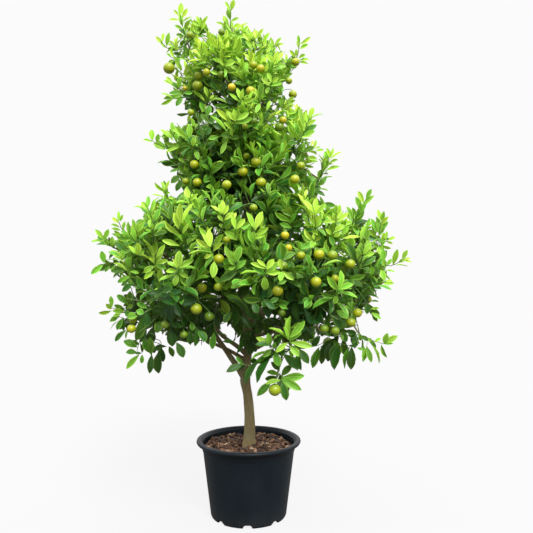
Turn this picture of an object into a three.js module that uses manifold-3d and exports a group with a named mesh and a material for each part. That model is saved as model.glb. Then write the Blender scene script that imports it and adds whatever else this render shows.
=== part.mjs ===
// A young citrus tree in a black nursery pot: pot, soil, one wooden trunk with its limbs, and the
// leafy sprays with their fruits. Millimetres, +Z up, origin on the floor at the pot's axis, front at -Y.
import * as THREE from "three";
import { mergeVertices } from "three/addons/utils/BufferGeometryUtils.js";
import Module from "manifold-3d";

const wasm = await Module();
wasm.setup();

// Driving dimensions of the pot, in millimetres
const POT = {
  height: 203,
  lipRadius: 140,
  mouthRadius: 127,
  lipHeight: 9,
  collarFoot: 175,
  collarStep: 1.6,
  bodyTopRadius: 122.6,
  bodyFootRadius: 101.5,
  footHeight: 5,
  footRadius: 99,
  footWidth: 6,
  wall: 3,
  floorTop: 15,
  floorBottom: 11,
  sides: 28,
};
const NOTCH = { count: 8, height: 9, width: 20, slant: 1.5, below: 5, inset: 8, depth: 14 };
const DRAIN = { radius: 6, ring: 78, sides: 6, depth: 20 };
const SOIL = {
  level: 183,
  swell: 2,
  ripple: 0.1,
  gap: 0.3,
  wallGap: 1,
  sides: 20,
  rings: [117, 82, 46],
  holeRadius: 17.6,
  holeFoot: 120.6,
};

// Driving dimensions of the plant
const GAP = 0.3; // between a spray and the limb that carries it
const LEAF = {
  perSpray: 7,
  longest: 66,
  spreadShare: 0.72,
  rootShare: 0.28,
  vary: 0.16,
  halfWidth: 0.2,
  thickness: 1.7,
  fold: 0.22,
  arch: 0.1,
  roll: 2.4,
  clear: 0.5,
  turns: [0, 0.35, -0.35, 0.7, -0.7],
  sections: [
    [0.42, 1],
    [0.76, 0.78],
  ],
};
const SPIRAL = { capDepth: 1.5, lean: 0.25, inner: 150 };
const CORE = { peak: 0.56, hollow: 0.3, vary: 0.12, sides: 6, rings: 4, sizes: [1, 0.92, 0.84, 0.76, 0.68] };
const TWIG = {
  rootRadius: 3.4,
  tipRadius: 2.6,
  sides: 4,
  tries: 60,
  limbShares: [0.35, 0.45, 0.55, 0.65, 0.75, 0.85, 0.94],
  leaderLowest: 600,
  leaderStep: 40,
};
const FRUIT = { sides: 6, rings: 4, stalkRadius: 1.7, stalkRise: 0.3, reach: 0.62, farthest: 1.25 };
const GOLDEN_TURN = Math.PI * (3 - Math.sqrt(5));

// The photograph's camera: a level view along +Y, for fruits whose places are read from pixels
const CAMERA = { distance: 1685, side: 48, height: 666, focalPixels: 625, centrePixel: 266.5 };

// Trunk and leader: x, y, z and radius from the stump in the soil to the top shoot
const LEADER = [
  [0, 0, 121, 17],
  [0, 0, 183, 17],
  [2, 0, 225, 15],
  [2, 0, 264, 13.8],
  [-2, 0, 318, 12.6],
  [-8, 0, 358, 12.4],
  [-4, 2, 400, 10.6],
  [-3, 4, 470, 10.2],
  [-5, 0, 560, 9.8],
  [-8, -6, 650, 9],
  [-12, -4, 760, 8.2],
  [-2, 4, 860, 7.4],
  [-8, 6, 970, 6.2],
  [-16, 0, 1080, 5.2],
  [-30, -4, 1180, 4.2],
  [-44, -2, 1270, 3.2],
];

// Limbs: height where each leaves the leader, the point that bends it, its end, and its root radius
const LIMBS = {
  left: [362, [-105, -10, 520], [-290, -30, 690], 8.2],
  leftFront: [430, [-90, -110, 500], [-190, -200, 690], 6.4],
  front: [500, [-20, -120, 560], [-20, -230, 700], 6.2],
  rightFront: [520, [100, -110, 560], [180, -220, 690], 6.4],
  right: [440, [150, 0, 500], [300, -20, 700], 7.4],
  rightBack: [530, [130, 90, 560], [240, 190, 690], 6.2],
  back: [480, [10, 150, 540], [10, 290, 690], 6.4],
  leftBack: [510, [-120, 110, 550], [-230, 220, 680], 6.2],
  leftLow: [410, [-140, 10, 490], [-280, 10, 560], 5.2],
  rightLow: [470, [130, -60, 520], [270, -30, 530], 5.2],
  frontLow: [455, [50, -120, 540], [95, -230, 510], 5.2],
  midLeft: [770, [-70, -10, 850], [-160, -10, 950], 5],
  midFront: [740, [0, -70, 810], [0, -120, 930], 5],
  midRight: [790, [70, 0, 850], [160, 5, 960], 5],
  midBack: [800, [0, 80, 850], [-20, 130, 940], 5],
  topLeft: [1030, [-70, -10, 1090], [-140, -15, 1210], 4],
  topRight: [1050, [40, -10, 1100], [95, 0, 1180], 4],
  topBack: [1020, [0, 60, 1080], [0, 95, 1150], 4],
  topFront: [1000, [-10, -50, 1050], [-40, -80, 1120], 4],
};

const WOOD = { limbTip: 2.8, trunkSides: 8, limbSides: 4, limbSteps: 3 };

// Sprays: heart x, y, z, spread from heart to leaf tips, and lift, from 1 for upright to -1 for hanging
const SPRAYS = {
  lower_front_01: [-285, -120, 705, 100, 0.6],
  lower_front_02: [-215, -240, 715, 100, 0.8],
  lower_front_03: [-150, -150, 805, 95, 1],
  lower_front_04: [-70, -290, 730, 100, 0.8],
  lower_front_05: [30, -190, 785, 95, 1],
  lower_front_06: [45, -320, 655, 95, 0.5],
  lower_front_07: [-165, -290, 595, 100, 0],
  lower_front_08: [155, -230, 755, 100, 0.9],
  lower_front_09: [235, -265, 635, 100, 0.4],
  lower_front_10: [140, -310, 610, 90, 0],
  lower_front_11: [105, -270, 480, 85, -0.5],
  lower_front_12: [-60, -220, 590, 95, -0.2],
  lower_front_13: [68, -240, 400, 60, -1],
  lower_side_01: [-330, -30, 735, 90, 0.7],
  lower_side_02: [-250, 30, 815, 90, 1],
  lower_side_03: [-310, 20, 575, 95, 0],
  lower_side_04: [-270, -50, 475, 90, -0.8],
  lower_side_05: [280, -10, 790, 90, 1],
  lower_side_06: [348, -50, 705, 90, 0.6],
  lower_side_07: [320, 60, 595, 85, 0.2],
  lower_side_08: [290, -60, 490, 90, -0.4],
  lower_side_09: [185, -110, 500, 95, -0.8],
  lower_back_01: [-290, 210, 720, 100, 0.6],
  lower_back_02: [-150, 302, 660, 100, 0.4],
  lower_back_03: [20, 305, 730, 100, 0.6],
  lower_back_04: [180, 300, 655, 100, 0.4],
  lower_back_05: [285, 190, 750, 100, 0.7],
  lower_back_06: [-200, 190, 520, 95, -0.4],
  lower_back_07: [40, 240, 530, 95, -0.4],
  lower_back_08: [230, 180, 500, 90, -0.4],
  middle_01: [-200, -10, 985, 90, 0.8],
  middle_02: [-105, -140, 960, 90, 0.8],
  middle_03: [10, -160, 1000, 90, 0.8],
  middle_04: [115, -110, 965, 90, 0.8],
  middle_05: [140, 0, 1025, 75, 1],
  middle_06: [190, 10, 905, 80, 0.8],
  middle_07: [-95, -125, 872, 85, 0],
  middle_08: [30, -160, 880, 85, 0],
  middle_09: [-120, 140, 950, 90, 0.6],
  middle_10: [50, 170, 980, 90, 0.6],
  middle_11: [60, 170, 850, 90, 0],
  top_01: [-45, 0, 1310, 75, 1.5],
  top_02: [-165, -10, 1270, 80, 1],
  top_03: [45, -30, 1250, 80, 1],
  top_04: [100, 10, 1210, 75, 1],
  top_05: [-75, -110, 1180, 80, 0.8],
  top_06: [20, -110, 1120, 80, 0.4],
  top_07: [-155, -30, 1120, 80, 0.2],
  top_08: [-60, 110, 1200, 80, 0.8],
  top_09: [70, 100, 1140, 80, 0.4],
};

// The larger fruits that the photograph shows: pixel across, pixel down and width in pixels
const FRUITS = [
  [169, 68, 11.5],
  [190, 35, 8],
  [222, 32, 8],
  [195, 87, 9],
  [250.5, 91, 9],
  [295.5, 62, 8.5],
  [279, 128, 9.5],
  [256, 161, 10],
  [243, 171.5, 10],
  [197, 182, 9],
  [262, 182.5, 10.5],
  [295, 179.5, 9.5],
  [219, 259, 10.5],
  [319, 254.5, 11],
  [332, 256, 10.5],
  [350.5, 264, 10],
  [316, 282, 11],
  [277.5, 291, 11],
  [202, 288, 10],
  [196, 309, 11.7],
  [131.5, 329, 9],
  [357, 313, 10],
  [335, 332, 9],
  [275, 390, 12.5],
];
// The fruits on the side that faces away: one on each spray whose heart lies behind this y
const HIDDEN_FRUIT = { diameter: 27, reach: 0.72, ways: 5, droop: 0.5, behind: 160 };

// A number from 0 to 1 that looks drawn by chance, the same each time for what is drawn, where and which
const DRAW = { length: 1, roll: 2, corner: 3 };
const chance = (what, where, which) => {
  const s = Math.sin(what * 37.719 + where * 12.9898 + which * 78.233) * 43758.5453;
  return s - Math.floor(s);
};
const point = (x, y, z) => new THREE.Vector3(x, y, z);
const UP = point(0, 0, 1);

// The part of a vector that is square to a unit vector, at unit length
const squareTo = (vector, unit) => vector.clone().addScaledVector(unit, -vector.dot(unit)).normalize();

// Turns a three.js geometry into a solid that can be joined and cut
function solid(geometry) {
  const bare = geometry.clone();
  bare.deleteAttribute("normal");
  bare.deleteAttribute("uv");
  const merged = mergeVertices(bare, 1e-4);
  return new wasm.Manifold(
    new wasm.Mesh({
      numProp: 3,
      vertProperties: new Float32Array(merged.attributes.position.array),
      triVerts: new Uint32Array(merged.index.array),
    }),
  );
}

// Turns a solid back into a flat-shaded three.js geometry
function geometryOf(made) {
  const mesh = made.getMesh();
  const geometry = new THREE.BufferGeometry();
  const places = new Float32Array(mesh.numVert * 3);
  for (let i = 0; i < mesh.numVert; i++) {
    places.set(mesh.vertProperties.subarray(i * mesh.numProp, i * mesh.numProp + 3), i * 3);
  }
  geometry.setAttribute("position", new THREE.BufferAttribute(places, 3));
  geometry.setIndex(new THREE.BufferAttribute(new Uint32Array(mesh.triVerts), 1));
  const flat = geometry.toNonIndexed();
  flat.computeVertexNormals();
  return flat;
}

const joined = (solids) => solids.reduce((whole, piece) => whole.add(piece));
const largestBody = (made) => made.decompose().sort((a, b) => b.volume() - a.volume())[0];

// A tapered rod: a cylinder whose rings are carried along a curve
function rod(curve, radiusAt, sides, segments) {
  const geometry = new THREE.CylinderGeometry(1, 1, 1, sides, segments);
  const frames = curve.computeFrenetFrames(segments, false);
  const places = geometry.attributes.position;
  const local = point(0, 0, 0);
  for (let i = 0; i < places.count; i++) {
    local.fromBufferAttribute(places, i);
    const ring = Math.round((local.y + 0.5) * segments);
    const along = ring / segments;
    const radius = radiusAt(along);
    const centre = curve.getPointAt(along);
    centre.addScaledVector(frames.normals[ring], local.z * radius);
    centre.addScaledVector(frames.binormals[ring], local.x * radius);
    places.setXYZ(i, centre.x, centre.y, centre.z);
  }
  return solid(geometry);
}

// Pot

function lathe(profile, sides) {
  const turned = new THREE.LatheGeometry(
    profile.map(([r, z]) => new THREE.Vector2(r, z)),
    sides,
  );
  turned.rotateX(Math.PI / 2);
  return solid(turned);
}

function potBody() {
  const p = POT;
  const lipFoot = p.height - p.lipHeight;
  const collarRadius = p.bodyTopRadius + p.collarStep;
  const outside = [
    [0, p.floorBottom],
    [p.footRadius - p.footWidth, p.floorBottom],
    [p.footRadius - p.footWidth, 0],
    [p.footRadius, 0],
    [p.bodyFootRadius, p.footHeight],
    [p.bodyTopRadius, p.collarFoot],
    [collarRadius, p.collarFoot + 1],
    [collarRadius + 1, lipFoot],
    [p.lipRadius - 2, lipFoot],
    [p.lipRadius, lipFoot + 3],
    [p.lipRadius - 1, p.height - 2],
    [p.lipRadius - 4, p.height],
  ];
  const inside = [
    [p.mouthRadius + 2, p.height],
    [p.mouthRadius, p.height - 2],
    [collarRadius + 1 - p.wall, lipFoot + 2],
    [p.bodyTopRadius - p.wall + 1, p.collarFoot],
    [p.bodyFootRadius - p.wall, p.floorTop],
    [0, p.floorTop],
  ];
  return lathe([...outside, ...inside], p.sides);
}

function around(count, made) {
  return Array.from({ length: count }, (_, i) => made.rotate([0, 0, (360 / count) * i]));
}

function pot() {
  const halfFoot = NOTCH.width / 2 + NOTCH.slant;
  const halfTop = NOTCH.width / 2 - NOTCH.slant;
  const notchShape = new THREE.Shape([
    new THREE.Vector2(-halfFoot, -NOTCH.below),
    new THREE.Vector2(halfFoot, -NOTCH.below),
    new THREE.Vector2(halfTop, NOTCH.height),
    new THREE.Vector2(-halfTop, NOTCH.height),
  ]);
  const notchGeometry = new THREE.ExtrudeGeometry(notchShape, { depth: NOTCH.depth, bevelEnabled: false });
  notchGeometry.rotateX(Math.PI / 2);
  notchGeometry.translate(0, NOTCH.inset - POT.footRadius, 0);
  const drainGeometry = new THREE.CylinderGeometry(DRAIN.radius, DRAIN.radius, DRAIN.depth, DRAIN.sides);
  drainGeometry.rotateX(Math.PI / 2);
  drainGeometry.translate(0, -DRAIN.ring, POT.floorBottom);
  const cuts = [...around(NOTCH.count, solid(notchGeometry)), ...around(NOTCH.count, solid(drainGeometry))];
  return potBody().subtract(joined(cuts));
}

// Soil with an uneven top and a plain hole that the trunk's stump stands in
function soil() {
  const wallAt = (z) => {
    const share = (z - POT.floorTop) / (POT.collarFoot - POT.floorTop);
    const foot = POT.bodyFootRadius - POT.wall;
    return foot + (POT.bodyTopRadius - POT.wall + 1 - foot) * share - SOIL.wallGap;
  };
  const profile = [
    [0, POT.floorTop + SOIL.gap],
    [wallAt(POT.floorTop), POT.floorTop + SOIL.gap],
    [wallAt(POT.collarFoot), POT.collarFoot],
    ...SOIL.rings.map((radius) => [radius, SOIL.level]),
    [SOIL.holeRadius, SOIL.level - 1],
    [SOIL.holeRadius, SOIL.holeFoot],
    [0, SOIL.holeFoot],
  ];
  const turned = new THREE.LatheGeometry(
    profile.map(([r, z]) => new THREE.Vector2(r, z)),
    SOIL.sides,
  );
  turned.rotateX(Math.PI / 2);
  const places = turned.attributes.position;
  for (let i = 0; i < places.count; i++) {
    const [x, y, z] = [places.getX(i), places.getY(i), places.getZ(i)];
    if (z < SOIL.level) continue;
    places.setZ(i, z + SOIL.swell * (Math.sin(x * SOIL.ripple) + Math.cos((y + x / 2) * SOIL.ripple)));
  }
  return solid(turned);
}

// Wood

const leader = new THREE.CatmullRomCurve3(LEADER.map(([x, y, z]) => point(x, y, z)));
const LAST = LEADER.length - 1;

// The leader's share where it reaches a height
function leaderShare(z) {
  let i = 0;
  while (i < LAST - 1 && LEADER[i + 1][2] < z) i++;
  const within = (z - LEADER[i][2]) / (LEADER[i + 1][2] - LEADER[i][2]);
  return (i + Math.min(1, Math.max(0, within))) / LAST;
}

const limbs = Object.values(LIMBS).map(([z, bend, end, radius]) => {
  const root = leader.getPoint(leaderShare(z));
  const curve = new THREE.QuadraticBezierCurve3(root, point(...bend), point(...end));
  return { curve, radiusAt: (t) => radius * (1 - t) + WOOD.limbTip * t };
});

// The trunk and limbs as one solid, with every surface moved out by grow
function wood(grow) {
  const geometry = new THREE.CylinderGeometry(1, 1, 1, WOOD.trunkSides, LAST);
  const places = geometry.attributes.position;
  for (let i = 0; i < places.count; i++) {
    const ring = Math.round((places.getY(i) + 0.5) * LAST);
    const [x, y, z, radius] = LEADER[ring];
    const r = radius + grow;
    places.setXYZ(i, x + places.getZ(i) * r, y + places.getX(i) * r, z);
  }
  const { limbSides, limbSteps } = WOOD;
  const rods = limbs.map((limb) => rod(limb.curve, (t) => limb.radiusAt(t) + grow, limbSides, limbSteps));
  return joined([solid(geometry), ...rods]);
}

// Sprays

// A spray's way out of the crown: away from the leader, less so near it, and raised or lowered by its lift
function wayOut(heart, lift) {
  const middle = leader.getPoint(leaderShare(heart.z));
  const away = point(heart.x - middle.x, heart.y - middle.y, 0);
  away.multiplyScalar(1 / Math.max(away.length(), SPIRAL.inner));
  return away.addScaledVector(UP, lift).normalize();
}

// The directions of a spray's leaves: a golden spiral over a cap round its way out
function leafWays({ heart, lift, index }, count) {
  const out = wayOut(heart, lift);
  const side = squareTo(Math.abs(out.z) < 0.9 ? UP : point(0, 1, 0), out);
  const third = out.clone().cross(side);
  return Array.from({ length: count }, (_, k) => {
    const cosine = 1 - (SPIRAL.capDepth * (k + 0.5)) / count;
    const sine = Math.sqrt(1 - cosine * cosine);
    const turn = k * GOLDEN_TURN + index;
    const way = out.clone().multiplyScalar(cosine);
    way.addScaledVector(side, sine * Math.cos(turn));
    way.addScaledVector(third, sine * Math.sin(turn));
    return way.addScaledVector(UP, SPIRAL.lean * lift).normalize();
  });
}

// A leaf blade: narrow at its stalk, widest near its middle, pointed, folded along its rib and arched.
// Each section is a thin rhombus, and both faces are split from the edge to the rib of the next section.
function leaf(root, way, roll, length, swell) {
  const rise = (share) => length * LEAF.arch * (share - share * share * 2);
  const rib = LEAF.thickness / 2 + swell;
  const rows = LEAF.sections.map(([share, width]) => {
    const across = length * LEAF.halfWidth * width + swell;
    const edge = rise(share) + across * LEAF.fold;
    return [
      [share * length, across, edge],
      [share * length, 0, rise(share) + rib],
      [share * length, -across, edge],
      [share * length, 0, rise(share) - rib],
    ];
  });
  const corners = [[0, 0, 0], ...rows.flat(), [length + swell, 0, rise(1)]];
  const tip = corners.length - 1;
  const faces = [];
  for (let side = 0; side < 4; side++) {
    const next = (side + 1) % 4;
    faces.push([0, 1 + next, 1 + side]);
    for (let row = 0; row < rows.length - 1; row++) {
      const a = 1 + row * 4 + side;
      const b = 1 + row * 4 + next;
      if (side % 2 === 0) faces.push([a, b + 4, a + 4], [a, b, b + 4]);
      else faces.push([a, b, a + 4], [b, b + 4, a + 4]);
    }
    faces.push([tip, tip - 4 + side, tip - 4 + next]);
  }
  const face = squareTo(UP, way).applyAxisAngle(way, roll);
  const basis = new THREE.Matrix4().makeBasis(way, face.clone().cross(way), face);
  basis.setPosition(root);
  const geometry = new THREE.BufferGeometry();
  geometry.setAttribute("position", new THREE.Float32BufferAttribute(corners.flat(), 3));
  geometry.setIndex(faces.flat());
  geometry.applyMatrix4(basis);
  return solid(geometry);
}

// The small inner bush of a spray: its corners are raised and sunk by turns, and the leaves stand out of it
function core({ heart, spread, index }, size) {
  const geometry = new THREE.SphereGeometry(1, CORE.sides, CORE.rings);
  geometry.rotateX(Math.PI / 2);
  geometry.rotateZ(index);
  const places = geometry.attributes.position;
  const v = point(0, 0, 0);
  const perRing = CORE.sides + 1;
  for (let i = 0; i < places.count; i++) {
    const ring = Math.floor(i / perRing);
    const step = i % perRing;
    const pole = ring % CORE.rings === 0;
    const corner = ring * CORE.sides + (step % CORE.sides);
    const vary = pole ? 1 : 1 - CORE.vary * chance(DRAW.corner, index, corner);
    const raised = pole || (ring + step) % 2 === 0;
    v.fromBufferAttribute(places, i);
    v.multiplyScalar(spread * size * vary * (raised ? CORE.peak : CORE.hollow)).add(heart);
    places.setXYZ(i, v.x, v.y, v.z);
  }
  return solid(geometry);
}

function fruit(centre, diameter, heart) {
  const ball = new THREE.SphereGeometry(diameter / 2, FRUIT.sides, FRUIT.rings);
  ball.rotateX(Math.PI / 2);
  ball.translate(centre.x, centre.y, centre.z);
  const top = centre.clone().addScaledVector(UP, diameter * FRUIT.stalkRise);
  return solid(ball).add(rod(new THREE.LineCurve3(heart, top), () => FRUIT.stalkRadius, 3, 1));
}

// The solids that stand already, each with its owner and its box. A fruit has no owner's rights, so that
// the leaves of its own spray keep clear of it too.
const standing = [];
function stand(spray, made, what) {
  standing.push({ owner: what === "fruit" ? what : spray.name, made, box: made.boundingBox() });
  spray.parts.push(made);
}
function isFree(spray, made) {
  const box = made.boundingBox();
  const near = (other) => [0, 1, 2].every((i) => box.min[i] < other.max[i] && other.min[i] < box.max[i]);
  return !standing.some((s) => s.owner !== spray.name && near(s.box) && !made.intersect(s.made).isEmpty());
}

const leftOut = [];
const sprays = Object.entries(SPRAYS).map(([name, [x, y, z, spread, lift]], index) => {
  return { name: "spray_" + name, index, heart: point(x, y, z), spread, lift, parts: [] };
});

// Inner bushes first, for everything else to keep clear of
for (const spray of sprays) {
  const size = CORE.sizes.find((trial) => isFree(spray, core(spray, trial)));
  if (!size) leftOut.push("room for the bush of " + spray.name);
  stand(spray, core(spray, size ?? CORE.sizes.at(-1)));
}

// Twigs: from the nearest place on a limb from which the way to the heart is free
const roots = limbs.flatMap(({ curve }) => TWIG.limbShares.map((share) => curve.getPoint(share)));
for (let z = TWIG.leaderLowest; z < LEADER[LAST][2]; z += TWIG.leaderStep) {
  roots.push(leader.getPoint(leaderShare(z)));
}
for (const spray of sprays) {
  const near = [...roots].sort((a, b) => a.distanceTo(spray.heart) - b.distanceTo(spray.heart));
  const root = near.slice(0, TWIG.tries).find((from) => {
    const path = new THREE.LineCurve3(from, spray.heart);
    const made = rod(path, (t) => TWIG.rootRadius * (1 - t) + TWIG.tipRadius * t, TWIG.sides, 1);
    if (!isFree(spray, made)) return false;
    stand(spray, made);
    return true;
  });
  if (!root) leftOut.push("twig of " + spray.name);
}

// A fruit on the photograph's line of sight, borne by the spray that the line passes closest to
const eye = point(CAMERA.side, -CAMERA.distance, CAMERA.height);
function hangOnSight([pixelX, pixelY, pixelWidth]) {
  const { centrePixel, focalPixels } = CAMERA;
  const sight = point(pixelX - centrePixel, focalPixels, centrePixel - pixelY).normalize();
  const choices = sprays.map((spray) => {
    const along = spray.heart.clone().sub(eye).dot(sight);
    const miss = eye.clone().addScaledVector(sight, along).distanceTo(spray.heart);
    const reach = Math.max(miss, spray.spread * FRUIT.reach);
    const distance = along - Math.sqrt(reach * reach - miss * miss);
    return { spray, miss: miss / spray.spread, distance };
  });
  const near = choices.filter((c) => c.miss < FRUIT.farthest).sort((a, b) => a.distance - b.distance);
  for (const { spray, distance } of near) {
    const centre = eye.clone().addScaledVector(sight, distance);
    const diameter = (pixelWidth * sight.y * distance) / focalPixels;
    const made = fruit(centre, diameter, spray.heart);
    if (!isFree(spray, made)) continue;
    stand(spray, made, "fruit");
    return;
  }
  leftOut.push("fruit at pixel " + pixelX + ", " + pixelY);
}
FRUITS.forEach(hangOnSight);
sprays
  .filter((spray) => spray.heart.y > HIDDEN_FRUIT.behind)
  .forEach((spray, i) => {
    const ways = leafWays(spray, HIDDEN_FRUIT.ways);
    const way = ways[i % 3].addScaledVector(UP, -HIDDEN_FRUIT.droop).normalize();
    const centre = spray.heart.clone().addScaledVector(way, spray.spread * HIDDEN_FRUIT.reach);
    const made = fruit(centre, HIDDEN_FRUIT.diameter, spray.heart);
    if (isFree(spray, made)) stand(spray, made, "fruit");
  });

// Leaves: one that would cross another spray is turned a little, up to a few tries, or else left out
for (const spray of sprays) {
  leafWays(spray, LEAF.perSpray).forEach((way, k) => {
    const vary = 1 + LEAF.vary * (chance(DRAW.length, spray.index, k) - 0.5);
    const length = Math.min(LEAF.longest, spray.spread * LEAF.spreadShare) * vary;
    const roll = (chance(DRAW.roll, spray.index, k) - 0.5) * LEAF.roll;
    const axis = squareTo(UP, way);
    const done = LEAF.turns.some((turn) => {
      const turned = way.clone().applyAxisAngle(axis, turn);
      const root = spray.heart.clone().addScaledVector(turned, spray.spread * LEAF.rootShare);
      if (!isFree(spray, leaf(root, turned, roll, length, LEAF.clear))) return false;
      stand(spray, leaf(root, turned, roll, length, 0));
      return true;
    });
    if (!done) leftOut.push("leaf " + k + " of " + spray.name);
  });
}

// Assembly

const FINISHES = {
  plastic: { color: 0x23272b, roughness: 0.45, metalness: 0 },
  soil: { color: 0x5a3826, roughness: 0.95, metalness: 0 },
  bark: { color: 0x6b5c40, roughness: 0.85, metalness: 0 },
  foliage: { color: 0x5da12a, roughness: 0.5, metalness: 0 },
};
const tree = new THREE.Group();
tree.userData.leftOut = leftOut;
function add(name, made, finish) {
  const mesh = new THREE.Mesh(geometryOf(made), new THREE.MeshStandardMaterial(FINISHES[finish]));
  mesh.name = name;
  tree.add(mesh);
}

add("pot", pot(), "plastic");
add("soil", soil(), "soil");
add("trunk", wood(0), "bark");
const woodSpace = wood(GAP);
for (const spray of sprays) {
  add(spray.name, largestBody(joined(spray.parts).subtract(woodSpace)), "foliage");
}

export default tree;
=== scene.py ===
import math

import bpy
import numpy as np
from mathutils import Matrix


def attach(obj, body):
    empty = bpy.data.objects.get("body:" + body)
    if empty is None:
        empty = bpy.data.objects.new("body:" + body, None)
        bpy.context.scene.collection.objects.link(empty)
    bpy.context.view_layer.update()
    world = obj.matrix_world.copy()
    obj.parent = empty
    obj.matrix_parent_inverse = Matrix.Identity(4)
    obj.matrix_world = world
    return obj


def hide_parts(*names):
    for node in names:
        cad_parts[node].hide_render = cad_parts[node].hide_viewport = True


# A young citrus tree in a black nursery pot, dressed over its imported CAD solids.
# Sizes in the dictionaries are millimetres, +Z is up, the front faces -Y.

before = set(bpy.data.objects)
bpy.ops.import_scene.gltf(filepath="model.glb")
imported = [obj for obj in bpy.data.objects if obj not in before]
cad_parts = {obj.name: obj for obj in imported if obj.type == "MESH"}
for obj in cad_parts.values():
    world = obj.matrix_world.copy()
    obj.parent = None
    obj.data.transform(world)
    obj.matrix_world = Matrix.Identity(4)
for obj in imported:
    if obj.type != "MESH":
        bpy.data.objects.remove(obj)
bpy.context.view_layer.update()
print("frame loaded:", len(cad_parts), "CAD nodes")

mm = 0.001
up = np.array([0.0, 0.0, 1.0])
goldenTurn = math.pi * (3 - math.sqrt(5))
tau = 2 * math.pi


# Small helpers for vectors held as rows of arrays

def unit(rows):
    return rows / np.maximum(np.linalg.norm(rows, axis=-1, keepdims=True), 1e-9)


def dot(a, b):
    return (a * b).sum(-1, keepdims=True)


def squareTo(rows, axis):
    # the part of each row that is square to a unit axis, at unit length
    return unit(rows - axis * dot(rows, axis))


def turned(rows, axis, angle):
    # each row turned about its unit axis by its angle
    c, s = np.cos(angle)[..., None], np.sin(angle)[..., None]
    return rows * c + np.cross(axis, rows) * s + axis * dot(axis, rows) * (1 - c)


def smoothStep(low, high, values):
    t = np.clip((values - low) / (high - low), 0, 1)
    return t * t * (3 - 2 * t)


def gridFaces(rows, columns, closed=False):
    # quads of a grid with rows times columns corners; closed joins the last column to the first
    steps = np.arange(columns if closed else columns - 1)
    a = (np.arange(rows - 1)[:, None] * columns + steps[None, :]).ravel()
    b = (np.arange(rows - 1)[:, None] * columns + ((steps + 1) % columns)[None, :]).ravel()
    return np.stack([a, b, b + columns, a + columns], -1)


def repeated(faces, count, stride):
    # the faces of one shape, repeated for count shapes with stride corners each
    return (faces[None] + (np.arange(count) * stride)[:, None, None]).reshape(-1, faces.shape[1])


def bodyFaces(rings, sides, flipped=False):
    # faces of a closed body: quads between its rings, and fans to the two poles that come after them.
    # flipped is for rings that run down
    a = np.arange(sides)
    b = (a + 1) % sides
    last = (rings - 1) * sides
    first = np.stack([np.full(sides, rings * sides), b, a], -1)
    final = np.stack([np.full(sides, rings * sides + 1), a + last, b + last], -1)
    quads, triangles = gridFaces(rings, sides, True), np.concatenate([first, final])
    if flipped:
        return quads[:, [0, 3, 2, 1]], triangles[:, [0, 2, 1]]
    return quads, triangles


def anglesOf(sides):
    # the angle of each corner round a ring
    return np.arange(sides) / sides * tau


def placed(name, data):
    # a new object in the scene
    made = bpy.data.objects.new(name, data)
    bpy.context.scene.collection.objects.link(made)
    return made


def makePiece(name, points, quads, triangles, material, slot, replaced=(), values=None):
    # a mesh piece from whole arrays: corners in millimetres, faces, and a value per corner for each attribute
    mesh = bpy.data.meshes.new(name)
    quads = np.asarray(quads, np.int32).reshape(-1, 4)
    triangles = np.asarray(triangles, np.int32).reshape(-1, 3)
    corners = np.concatenate([quads.ravel(), triangles.ravel()])
    starts = np.concatenate([np.arange(len(quads)) * 4, len(quads) * 4 + np.arange(len(triangles)) * 3])
    mesh.vertices.add(len(points))
    mesh.vertices.foreach_set("co", (points * mm).astype(np.float32).ravel())
    mesh.loops.add(len(corners))
    mesh.loops.foreach_set("vertex_index", corners.astype(np.int32))
    mesh.polygons.add(len(starts))
    mesh.polygons.foreach_set("loop_start", starts.astype(np.int32))
    mesh.update(calc_edges=True)
    mesh.shade_smooth()
    for label, numbers in (values or {}).items():
        layer = mesh.attributes.new(label, "FLOAT", "POINT")
        layer.data.foreach_set("value", np.asarray(numbers, np.float32))
    mesh.materials.append(material)
    piece = placed(name, mesh)
    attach(piece, "root")
    if replaced:
        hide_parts(*replaced)
    return piece


# Material helpers

def newMaterial(name):
    material = bpy.data.materials.new(name)
    material.use_nodes = True
    tree = material.node_tree
    return material, tree, tree.nodes["Principled BSDF"]


def fill(tree, node, inputs):
    # gives inputs of a node, by name or number, a number, a colour or another node's output
    for key, value in inputs.items():
        socket = node.inputs[key]
        if isinstance(value, tuple):
            socket.default_value = (*value, 1)
        elif isinstance(value, (int, float)):
            socket.default_value = value
        else:
            tree.links.new(value, socket)
    return node


def addNode(tree, kind, inputs):
    return fill(tree, tree.nodes.new(kind), inputs)


def objectPlace(tree):
    return tree.nodes.new("ShaderNodeTexCoord").outputs["Object"]


def stretched(tree, place, scale):
    # a coordinate, stretched by a Mapping node
    mapping = addNode(tree, "ShaderNodeMapping", {"Vector": place})
    mapping.inputs["Scale"].default_value = scale
    return mapping.outputs["Vector"]


def heightIn(tree, place):
    return addNode(tree, "ShaderNodeSeparateXYZ", {0: place}).outputs["Z"]


def attributeNode(tree, label):
    node = tree.nodes.new("ShaderNodeAttribute")
    node.attribute_name = label
    return node.outputs["Fac"]


def noiseNode(tree, scale, detail, vector, roughness=0.55):
    inputs = {"Scale": scale, "Detail": detail, "Roughness": roughness, "Vector": vector}
    return addNode(tree, "ShaderNodeTexNoise", inputs).outputs["Fac"]


def mathNode(tree, operation, *values):
    node = tree.nodes.new("ShaderNodeMath")
    node.operation = operation
    return fill(tree, node, dict(enumerate(values))).outputs[0]


def rangeNode(tree, value, low, high, newLow, newHigh):
    inputs = {"Value": value, "From Min": low, "From Max": high, "To Min": newLow, "To Max": newHigh}
    return addNode(tree, "ShaderNodeMapRange", inputs).outputs["Result"]


def rampNode(tree, value, stops):
    node = addNode(tree, "ShaderNodeValToRGB", {"Fac": value})
    ramp = node.color_ramp
    while len(ramp.elements) < len(stops):
        ramp.elements.new(0.5)
    for element, (place, colour) in zip(ramp.elements, stops):
        element.position = place
        element.color = (*colour, 1)
    return node.outputs["Color"]


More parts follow.
